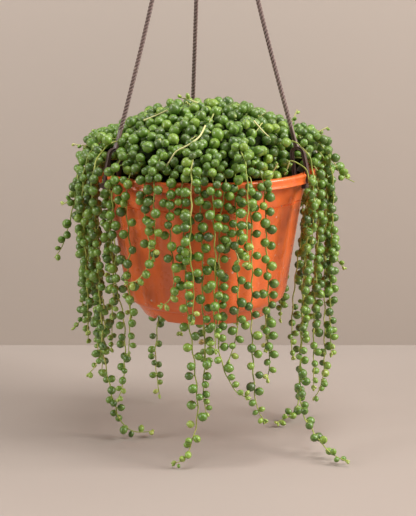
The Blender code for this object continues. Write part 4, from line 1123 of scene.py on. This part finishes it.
class Route:
    """A strand's line, read by the distance from its root."""

    def __init__(self, points, azimuth):
        self.points = points
        self.marks = [0.0]
        for here, there in pairs(points):
            self.marks.append(self.marks[-1] + (there - here).length)
        self.length = self.marks[-1]
        self.outward = outward_at(azimuth)

    def youth(self, distance, reach=TIP_BEND):
        """How young the stem is there: 0 until it comes within a reach of its tip, and 1 at the tip."""
        return max(0.0, 1.0 - (self.length - distance) / reach)

    def at(self, distance):
        """The point, the direction along the stem and two directions square to it."""
        index = 0
        while index < len(self.marks) - 2 and self.marks[index + 1] < distance:
            index += 1
        here, there = self.points[index], self.points[index + 1]
        span = self.marks[index + 1] - self.marks[index]
        place = here.lerp(there, limited((distance - self.marks[index]) / span))
        back = self.points[max(index - 1, 0)]
        ahead = self.points[min(index + 2, len(self.points) - 1)]
        along = (ahead - back).normalized()
        front = self.outward - along * self.outward.dot(along)
        if front.length < 0.35:
            front = UP - along * along.z
        front.normalize()
        return place, along, front, along.cross(front)


def pearl_rule(number, route, pitch, lean):
    """Every pearl of a strand: distance from the root, angle round the stem and radius."""
    draw = random.Random(RULE_SEED + number)
    distance = FIRST_PEARL + draw.uniform(0.0, pitch)
    pearls = []
    turn = draw.choice((-1, 1))
    while distance < route.length - 1.5:
        turn = -turn
        side = lean if lean and draw.random() < 0.85 else turn
        angle = side * draw.uniform(*PEARL_ANGLES)
        left = (route.length - distance) / (YOUNG_PEARLS * pitch)
        young = min(1.0, YOUNG_SIZE + (1.0 - YOUNG_SIZE) * left)
        pearls.append((distance, angle, young * pearl_radius(draw)))
        distance += pitch * (0.5 + 0.5 * young) * draw.uniform(0.85, 1.15)
    return pearls


def pearl_radius(draw):
    return PEARL_RADIUS + draw.uniform(-1.0, 1.0) * PEARL_SPREAD


def segments(line, reach):
    """A line's straight pieces, as start, end and reach."""
    return [(here, there, reach) for here, there in pairs(line)]


def hanger_lines():
    """Middle lines of the arms and clips with the reach round them."""
    lines = []
    leg_reach = math.hypot(LEG_THICKNESS, LEG_WIDTH) / 2.0
    bar_height = -BAND_HEIGHT - GAP - BAR_SIZE / 2.0
    outer = ARM_FOOT_RADIUS + LEG_SPACING / 2.0
    for azimuth in ARM_AZIMUTHS.values():
        foot, top = (polar(azimuth, arm_radius_at(height), height) for height in (ARM_FOOT_HEIGHT, CAP_TOP))
        lines.append((foot, top, FLARE_RADIUS))
        clip = [polar(azimuth, radius, height) for radius, height in clip_line()]
        lines += segments(clip, leg_reach)
        start, end = (polar(azimuth, outer, bar_height, side * BAR_LENGTH / 2.0) for side in (-1.0, 1.0))
        lines.append((start, end, BAR_SIZE / math.sqrt(2.0)))
    return lines


def clear_of_pot(point, reach):
    """Whether a ball clears the pot, the soil and the crown's inner mass."""
    radius = math.hypot(point[0], point[1])
    height = point[2] + RIM_DROP
    room = reach + GAP
    upright = CORE_TOP if height > CORE_HEIGHT else CORE_UNDER
    across = radius / (CORE_RADIUS + room)
    if across * across + ((height - CORE_HEIGHT) / (upright + room)) ** 2 < 1.0:
        return False
    return clear_of_rim(radius, height, room)


def clear_of_rim(radius, height, room):
    if height > 0.0:
        beside = max(0.0, radius - RIM_RADIUS, wall_radius(0.0) - WALL_THICKNESS - radius)
        return math.hypot(beside, height) > room
    if height < -POT_HEIGHT - room:
        return True
    if radius < RIM_TOP_INNER:
        return False
    outside = RIM_RADIUS if height > -BAND_HEIGHT - room else wall_radius(-height - room) + STEP_SIZE
    return radius - outside > room


class Segments:
    """Many straight pieces of line, each with its own reach, measured at once."""

    def __init__(self, rows):
        self.starts = np.array([tuple(start) for start, _, _ in rows])
        self.spans = np.array([tuple(end - start) for start, end, _ in rows])
        self.squares = np.maximum((self.spans ** 2).sum(1), 1e-9)
        self.reach = np.array([reach for _, _, reach in rows])

    def gaps(self, point):
        """Distance from a point to each piece's surface."""
        off = np.array(point) - self.starts
        share = np.clip((off * self.spans).sum(1) / self.squares, 0.0, 1.0)
        return np.linalg.norm(off - self.spans * share[:, None], axis=1) - self.reach


class Room:
    """Everything that a new pearl keeps clear of: the hanger, the stems and other pearls."""

    def __init__(self, routes):
        self.hanger = Segments(hanger_lines())
        self.views = []
        seen = strap_line()[1:] + [(ROPE_FOOT, 22.0), (ROPE_FOOT, 32.0)]
        self.open_view([[polar(ARM_AZIMUTHS[name], radius, height) for radius, height in seen]
                        for name in ("left", "right")], 5, 1.4)
        self.bare = []
        for points in BARE_STEMS:
            places = [mound_point(math.degrees(math.atan2(y, x)), math.hypot(x, y))[0] for x, y in points]
            self.bare.append(smooth_route([place + UP * 0.8 for place in places], 1.5))
        self.open_view(self.bare, 4, -0.6)
        self.stems = Segments([row for route in routes for row in segments(route.points, 0.0)])
        self.owners = np.array([index for index, route in enumerate(routes) for _ in pairs(route.points)])
        self.balls = np.zeros((MOST_PEARLS, 5))
        self.count = 0

    def open_view(self, lines, steps, reach):
        """Keep pearls from hiding lines from the front; a reach below zero lets them overlap a little."""
        for line in lines:
            for step in range(steps):
                shift = TOWARDS_FRONT * step
                self.views += segments([point + shift for point in line], reach)
        self.sight = Segments(self.views)

    def add(self, owner, point, reach):
        self.balls[self.count] = (*point, reach, owner)
        self.count += 1

    def free(self, owner, point, reach, ease=1.0):
        """Whether a pearl fits; ease below 1 lets it press a little into its neighbours."""
        balls = self.balls[:self.count]
        gaps = np.linalg.norm(balls[:, :3] - np.array(point), axis=1)
        room = (balls[:, 3] + reach) * ease + np.where(balls[:, 4] == owner, GAP / 2.0, GAP * ease)
        if (gaps < room).any():
            return False
        if self.hanger.gaps(point).min() < reach + GAP:
            return False
        if ease < 1.0 and self.sight.gaps(point).min() < reach:
            return False
        if owner < 0:
            return self.stems.gaps(point).min() > reach * 0.72
        others = np.where(self.owners == owner, reach * ease + PETIOLE * 0.6 - (1.0 - ease) * 6.0,
                          reach * ease + (SOLID_STEM_RADIUS + GAP if ease == 1.0 else 0.3))
        return not (self.stems.gaps(point) < others).any()


class Bunch:
    """Seed of one plant piece: its stems, and loose points that each get a pearl."""

    BLANK = {"pearl": False, "aim": (0.0, 0.0, 1.0), "size": (0.0, 0.0, 0.0), "roll": 0.0, "tint": 0.5,
             "dry": 0.0, "thickness": 0.0, "tilt": 0.0}

    def __init__(self):
        self.points = []
        self.edges = []
        self.values = {key: [] for key in self.BLANK}

    def put(self, point, **values):
        self.points.append(tuple(point))
        for key, blank in self.BLANK.items():
            self.values[key].append(values.get(key, blank))

    def stem(self, line, thick, tint=0.0):
        first = len(self.points)
        for point, reach in zip(line, thick):
            self.put(point, thickness=reach * MM, tint=tint)
        self.edges += [(first + step, first + step + 1) for step in range(len(line) - 1)]

    def pearl(self, point, aim, size, roll, tint, dry=0.0):
        self.put(point, pearl=True, aim=tuple(aim), size=tuple(value * MM for value in size), roll=roll,
                 tint=tint, dry=dry)

    def grow(self, name, strand, looks):
        return strand.grown(name, seed_mesh(name, self.points, self.edges, **self.values), **looks)


def thinning(start, drop, count):
    """Thickness of a short stem at each of its points."""
    return [start - drop * step / count for step in range(count)]


def tilted(draw, direction, along, most):
    """A pearl's own direction: off the stem, a little down and aside."""
    tilt = math.radians(draw.uniform(0.0, most))
    down = direction * direction.z - UP
    if down.length < 0.1:
        down = along
    aim = direction * math.cos(tilt) + down.normalized() * math.sin(tilt)
    aim += Vector((draw.gauss(0.0, 0.1), draw.gauss(0.0, 0.1), draw.gauss(0.0, 0.1)))
    return aim.normalized()


def inside_box(point, reach):
    """Whether a ball stays inside the solids' box."""
    return all(cad_box[0][axis] + 0.0002 < (point[axis] - reach) * MM
               and (point[axis] + reach) * MM < cad_box[1][axis] - 0.0002 for axis in range(3))


def inside_shoulder(point, reach, stem):
    """Whether a ball stays inside the plant's outline beside the rim, unless its own stem leaves it."""
    height = point.z + RIM_DROP
    limit = SHOULDER_LEFT - 0.31 * height if point.x < 0.0 else SHOULDER_RIGHT - 0.1 * height
    return math.hypot(point.x, point.y) + reach < limit or math.hypot(stem.x, stem.y) > limit


class Seats:
    """The pearls' seats along every strand, and the search for them."""

    def __init__(self, routes, room):
        self.routes = routes
        self.room = room
        self.found = [[] for _ in routes]

    def seat(self, number, distance, angle, radius, draw, ease, *turns):
        """Try a pearl at its own angle and then at others, and keep the first seat that is free."""
        place, along, front, across = self.routes[number].at(distance)
        stalk = PETIOLE if ease == 1.0 else PETIOLE * 0.5
        for extra in (0.0, *turns):
            turn = math.radians(angle + extra)
            aim = tilted(draw, front * math.cos(turn) + across * math.sin(turn), along, 32.0)
            if place.z * MM - 2.0 * radius * MM < cad_box[0].z:
                aim.z = max(aim.z, 0.05)
                aim.normalize()
            centre = place + aim * (SOLID_STEM_RADIUS * 0.5 + stalk + radius * 0.8)
            if (clear_of_pot(centre, radius * ease) and inside_box(centre, radius * 1.02)
                    and (ease == 1.0 or inside_shoulder(centre, radius, place))
                    and self.room.free(number, centre, radius, ease)):
                self.found[number].append((distance, centre, aim, radius))
                self.room.add(number, centre, radius)
                return

    def take_rules(self):
        """Seat the pearls of the solids, and then those between them."""
        rules = [pearl_rule(number, self.routes[number], pitch, lean)
                 for number, (_, _, pitch, lean, _) in enumerate(STRANDS.values())]
        for first, seed, ease in ((True, SEAT_SEED, 1.0), (False, BETWEEN_SEED, BETWEEN_EASE)):
            for number, rule in enumerate(rules):
                draw = random.Random(seed + number)
                for from_tip, (distance, angle, radius) in enumerate(reversed(rule)):
                    if (from_tip % STRIDE == 0) != first:
                        continue
                    if not first:
                        angle *= draw.uniform(0.35, 1.0)
                    self.seat(number, distance, angle, radius, draw, ease, -30.0, 30.0, -60.0, 60.0, 180.0,
                              100.0, -100.0)

    def cover_stems(self):
        """Seat more pearls over the upper stems, and a few further down."""
        for number, (name, (_, _, _, lean, _)) in enumerate(STRANDS.items()):
            draw = random.Random(COVER_SEED + number)
            route = self.routes[number]
            sparse = lean or name.startswith("front")
            deepest = COVERED_RIGHT if name.startswith("right") else COVERED
            covered = COVERED_SPARSE if sparse else min(route.length - 12.0, deepest)
            distance = 3.0
            while distance < covered:
                radius = 0.94 * pearl_radius(draw)
                angle = draw.uniform(-45.0, 45.0)
                self.seat(number, distance, angle, radius, draw, COVER_EASE, 25.0, -25.0, 50.0, -50.0)
                distance += draw.uniform(2.0, 4.0)
            while not lean and distance < route.length - 6.0:
                radius = (0.9 - 0.4 * route.youth(distance)) * pearl_radius(draw)
                angle = draw.choice((-1, 1)) * draw.uniform(*PEARL_ANGLES)
                self.seat(number, distance, angle, radius, draw, LOWER_EASE, 30.0, -30.0)
                distance += draw.uniform(8.0, 14.0) * (1.6 if sparse else 1.0)


def make_strand(number, name, route, seats, room, strand, looks):
    """A strand: a thinning stem, its pearls, and a bud or two at its tip."""
    draw = random.Random(STRAND_SEED + number)
    bunch = Bunch()
    phase = draw.uniform(0.0, 6.28)
    line = []
    for point, mark in zip(route.points, route.marks):
        sway = Vector((math.sin(mark * 0.42 + phase), math.cos(mark * 0.31 + phase), 0.0)) * 0.42
        line.append(point + sway * min(1.0, (route.length - mark) / TIP_BEND))
    thinner = TIP_STEM_RADIUS - STEM_RADIUS
    bunch.stem(line, [STEM_RADIUS + thinner * route.youth(mark) for mark in route.marks])
    for distance, centre, aim, radius in seats:
        radius *= 0.97 - 0.12 * min(distance / 150.0, 1.0)
        young = route.youth(distance)
        if inside_box(centre, radius * (1.25 + 0.5 * young)):
            radius *= 1.0 + 0.45 * young
        tint = limited(draw.gauss(0.48, 0.13) + 0.42 * young * young, 0.05)
        slim = 1.0 - 0.16 * young
        dry = 1.0 if draw.random() < DRY_SHARE else 0.0
        size = (radius * slim, radius * slim, radius * (1.0 + 0.1 * young) * draw.uniform(0.95, 1.06))
        bunch.pearl(centre, aim, size, draw.uniform(0.0, 6.28), tint, dry)
    if name in SIDE_SHOOTS:
        shoot = add_shoot(bunch, SIDE_SHOOTS[name], room, draw)
        bunch.stem(shoot, thinning(0.55, 0.2, len(shoot)), 0.6)
    tip, along, front, across = route.at(route.length)
    for count in range(4):
        aim = (along + front * draw.uniform(-0.9, 0.9) + across * draw.uniform(-0.9, 0.9)).normalized()
        size = draw.uniform(0.9, 1.4)
        seat = tip + aim * size * (0.4 + 0.4 * count) - along * 0.8 * count
        if inside_box(seat, size * 1.3):
            bunch.pearl(seat, aim, (size * 0.75, size * 0.75, size * 1.2), draw.uniform(0.0, 6.28),
                        draw.uniform(0.8, 1.0))
    finished(bunch.grow(f"strand_{name}", strand, looks), "plant", name)


def add_shoot(bunch, points, room, draw, size=3.1):
    """A short young shoot along (x, y, height) points, with pearls that shrink towards its tip."""
    line = smooth_route([Vector((x, y, height - RIM_DROP)) for x, y, height in points], 1.5)
    route = Route(line, math.degrees(math.atan2(line[-1].y, line[-1].x)))
    distance = 3.0
    side = 1.0
    while distance < route.length + 1.0:
        place, along, front, across = route.at(distance)
        side = -side
        young = route.youth(distance, 22.0)
        radius = size * (1.0 - 0.5 * young) * draw.uniform(0.9, 1.08)
        turn = math.radians(side * draw.uniform(50.0, 110.0))
        aim = (front * math.cos(turn) + across * math.sin(turn) + along * 0.5).normalized()
        centre = place + aim * (radius * 0.8 + 1.2)
        if room.hanger.gaps(centre).min() > radius + GAP and inside_box(centre, radius * 1.4):
            slim = radius * (1.0 - 0.3 * young)
            bunch.pearl(centre, aim, (slim, slim, radius * (1.06 + 0.2 * young)), draw.uniform(0.0, 6.28),
                        min(draw.gauss(0.5, 0.1) + 0.35 * young, 1.0))
            room.add(-1, centre, radius)
        distance += radius * draw.uniform(1.9, 2.2) * (1.0 + 0.5 * young)
    return line


def mound_edge(azimuth):
    """How far the mound reaches and how high its edge lies at an azimuth."""
    turns, reaches, heights = zip(*MOUND_EDGE)
    return np.interp(azimuth % 360.0, turns, reaches), np.interp(azimuth % 360.0, turns, heights)


def mound_top(azimuth, radius):
    """Height of the pearls' tops over the mound."""
    reach, edge = mound_edge(azimuth)
    radii, heights = zip(*MOUND)
    over = limited((radius - reach + MOUND_EDGE_WIDTH) / MOUND_EDGE_WIDTH)
    return edge + (np.interp(radius, radii, heights) - edge) * math.sqrt(1.0 - over * over)


def mound_lump(place):
    """Small rise or dip of the mound's surface."""
    crossed = math.sin(place.x * 0.31 + 1.0) * math.cos(place.y * 0.27)
    return 1.5 * (crossed + math.sin(place.x * 0.17 - place.y * 0.23))


def mound_point(azimuth, radius, sunk=0.0):
    """A point on the mound, or sunk below it, and the direction square to the mound there."""
    step = 1.5
    rise = mound_top(azimuth, radius + step) - mound_top(azimuth, max(radius - step, 0.0))
    normal = (UP - outward_at(azimuth) * (rise / (2.0 * step))).normalized()
    place = polar(azimuth, radius, mound_top(azimuth, radius))
    return place + normal * (mound_lump(place) - sunk), normal


def pack_crown(bunch, lines, room, draw):
    """Layers of packed pearls over the mound, each a little deeper than the last and darker with painted
    shade.
    """
    bare = Segments([row for line in lines for row in segments(line, STEM_RADIUS)])
    for sunk, darts, ease, tint in CROWN_LAYERS:
        for _ in range(darts):
            azimuth = draw.uniform(0.0, 360.0)
            across = mound_edge(azimuth)[0] * math.sqrt(draw.random())
            radius = limited(draw.gauss(3.4, 0.32), 2.6, 4.1)
            centre, normal = mound_point(azimuth, across, sunk + radius + draw.uniform(-1.8, 1.4))
            height = centre.z + RIM_DROP
            if not clear_of_rim(math.hypot(centre.x, centre.y), max(height, 0.01), radius * 0.9):
                continue
            if height < radius - 5.0 or bare.gaps(centre).min() < radius * 0.8:
                continue
            if not room.free(-1, centre, radius, ease) or not inside_box(centre, radius * 1.1):
                continue
            room.add(-1, centre, radius)
            aim = normal * draw.uniform(0.3, 1.0) + outward_at(azimuth) * draw.uniform(0.0, 0.8)
            aim += Vector((draw.gauss(0.0, 0.45), draw.gauss(0.0, 0.45), draw.gauss(-0.1, 0.35)))
            size = (radius, radius, radius * draw.uniform(0.98, 1.1))
            bunch.pearl(centre, aim.normalized(), size, draw.uniform(0.0, 6.28),
                        limited(draw.gauss(tint, 0.14), 0.05, 0.78))


def lay_stems(bunch, room, draw):
    """Stems that wander outward just under the crown's pearls."""
    for _ in range(CROWN_STEMS):
        azimuth = draw.uniform(0.0, 360.0)
        across = draw.uniform(2.0, 30.0)
        drift = draw.gauss(0.0, 1.0)
        line = []
        while across < mound_edge(azimuth)[0] - 10.0 and len(line) < 30:
            place, _ = mound_point(azimuth, across, 3.0 + 1.6 * math.sin(across * 0.4 + drift * 5.0))
            line.append(place)
            across += 2.2
            drift += draw.gauss(0.0, 0.35)
            azimuth += math.degrees(drift * 1.2 / max(across, 8.0))
        if len(line) > 5 and min(room.hanger.gaps(point).min() for point in line) > 1.2:
            bunch.stem(line, [0.5 - 0.006 * step for step in range(len(line))], 0.3)


def crown_mass(shade):
    """The mass of stems and leaves under the pearls, coloured near black as painted shade: a rough mound
    that turns in at its foot.
    """
    rough = wave_sum(random.Random(MASS_SEED), 12, 0.15, 0.6)
    base = SOIL_LEVEL + 0.5 - RIM_DROP
    rows = []
    for row in range(MASS_TOP_ROWS + MASS_FOOT_ROWS + 1):
        under = max(row - MASS_TOP_ROWS, 0)
        ring = []
        for side in range(MASS_SIDES if row else 1):
            azimuth = 360.0 * side / MASS_SIDES
            reach = mound_edge(azimuth)[0] - 12.0
            radius = reach * (1.0 - 0.05 * under if under else row / MASS_TOP_ROWS)
            place, _ = mound_point(azimuth, min(radius, reach), MASS_DEPTH)
            level = place.z + 0.4 * rough(place.x, place.y)
            level += (base - level) * under / MASS_FOOT_ROWS
            flat = polar(azimuth, radius, 0.0)
            ring.append((flat.x, flat.y, max(level, base)))
        rows.append(ring)
    return bmesh_piece("crown_mass", skinned(rows), shade, 80.0)


def make_crown(room, strand, looks, shade):
    """The dense head: layers of packed pearls over a mass coloured near black as painted shade, bare stems
    and short shoots.
    """
    draw = random.Random(CROWN_SEED)
    bunch = Bunch()
    lines = room.bare + [add_shoot(bunch, points, room, draw, size) for size, points in SHOOTS]
    for line in lines:
        bunch.stem(line, thinning(0.62, 0.2, len(line)), 1.0)
    pack_crown(bunch, lines, room, draw)
    lay_stems(bunch, room, draw)
    leaves = bunch.grow("crown_pearls", strand, looks)
    finished(merged("crown_pearls", [leaves, crown_mass(shade)]), "plant", "crown")


# The stage

def plane(name, corners, material):
    mesh = bpy.data.meshes.new(name)
    mesh.from_pydata(corners, [], [(0, 1, 2, 3)])
    mesh.materials.append(material)
    return linked(name, mesh)


def floor_paper():
    """Plain pale paper with slight blotches."""
    skin = Finish("floor_paper", 0.9)
    blotches = skin.group("mottle", Scale=3.0, Detail=2.0)
    skin.feed("Base Color", skin.blend(blotches, (166, 155, 147), (161, 150, 142)))
    return skin.material


def wall_paper():
    """Plain pale paper with painted shade that darkens it towards the floor, and clear from its back."""
    skin = Finish("wall_paper", 0.9)
    level = skin.add("SeparateXYZ", skin.add("TexCoord")["Object"])["Z"]
    # Painted shade: the wall darkens towards the floor.
    low = skin.ranged(level, FLOOR_LEVEL, FLOOR_LEVEL + 0.6, 1.0, 0.0)
    skin.feed("Base Color", skin.blend(low, (217, 205, 196), (176, 164, 154)))
    behind = skin.add("NewGeometry")["Backfacing"]
    clear = skin.step("BsdfTransparent")
    mixed = skin.step("MixShader", behind, skin.shader.outputs[0], clear)
    skin.tree.links.new(mixed, skin.tree.nodes["Material Output"].inputs["Surface"])
    return skin.material


def make_stage():
    """A pale floor and a pale wall behind it; back views see past the wall."""
    side, low, top = STAGE_REACH, FLOOR_LEVEL, WALL_TOP
    floor = plane("floor", [(-side, -side, low), (side, -side, low), (side, side, low), (-side, side, low)],
                  floor_paper())
    left, right = WALL_PLACE - side * WALL_TURN, WALL_PLACE + side * WALL_TURN
    wall = plane("wall", [(-side, left, low), (side, right, low), (side, right, top), (-side, left, top)],
                 wall_paper())


def light_up():
    """A dim grey world and three area lights that face the middle of the plant."""
    world = bpy.data.worlds.new("studio")
    bpy.context.scene.world = world
    world.use_nodes = True
    background = world.node_tree.nodes["Background"].inputs
    background["Color"].default_value = srgb(232, 232, 232)
    background["Strength"].default_value = 0.1
    for name, (place, side, power, colour) in LIGHTS.items():
        lamp = bpy.data.lights.new(name, "AREA")
        lamp.shape = "RECTANGLE"
        lamp.size = lamp.size_y = side
        lamp.energy = power
        lamp.color = srgb(*colour)[:3]
        holder = linked(name, lamp)
        holder.location = place
        holder.rotation_euler = (LIGHT_TARGET - Vector(place)).to_track_quat("-Z", "Y").to_euler()


def place_camera():
    camera = bpy.data.cameras.new("camera")
    camera.lens = LENS
    camera.sensor_width = SENSOR_WIDTH
    holder = linked("camera", camera)
    holder.location = CAMERA_PLACE
    pitched = Matrix.Rotation(math.radians(90.0 - PITCH), 4, "X")
    rolled = Matrix.Rotation(math.radians(ROLL), 4, "Z")
    holder.rotation_euler = (pitched @ rolled).to_euler()
    bpy.context.scene.camera = holder
    bpy.context.scene.view_settings.view_transform = "Standard"


def main():
    make_mottle()
    make_specks()
    make_relief()
    swept_bar = swept_bar_group()
    strand = strand_group(swept_bar)
    make_pot(pot_plastic())
    make_soil(earth(), crumb_group())
    plastic = hanger_plastic()
    make_hook(plastic)
    for name, azimuth in ARM_AZIMUTHS.items():
        make_arm(name, azimuth, plastic, swept_bar)
    pearl = ball("pearl", PEARL_OUTLINE, PEARL_SIDES)
    looks = {"Pearl": pearl, "Pearl_Material": pearl_skin(), "Stem_Material": stem_skin()}
    routes = [Route(strand_route(azimuth, layer, bends), azimuth)
              for azimuth, layer, _, _, bends in STRANDS.values()]
    room = Room(routes)
    seats = Seats(routes, room)
    seats.take_rules()
    seats.cover_stems()
    for number, name in enumerate(STRANDS):
        make_strand(number, name, routes[number], seats.found[number], room, strand, looks)
    make_crown(room, strand, looks, shade_tissue())
    bpy.data.objects.remove(pearl)
    make_stage()
    light_up()
    place_camera()


main()
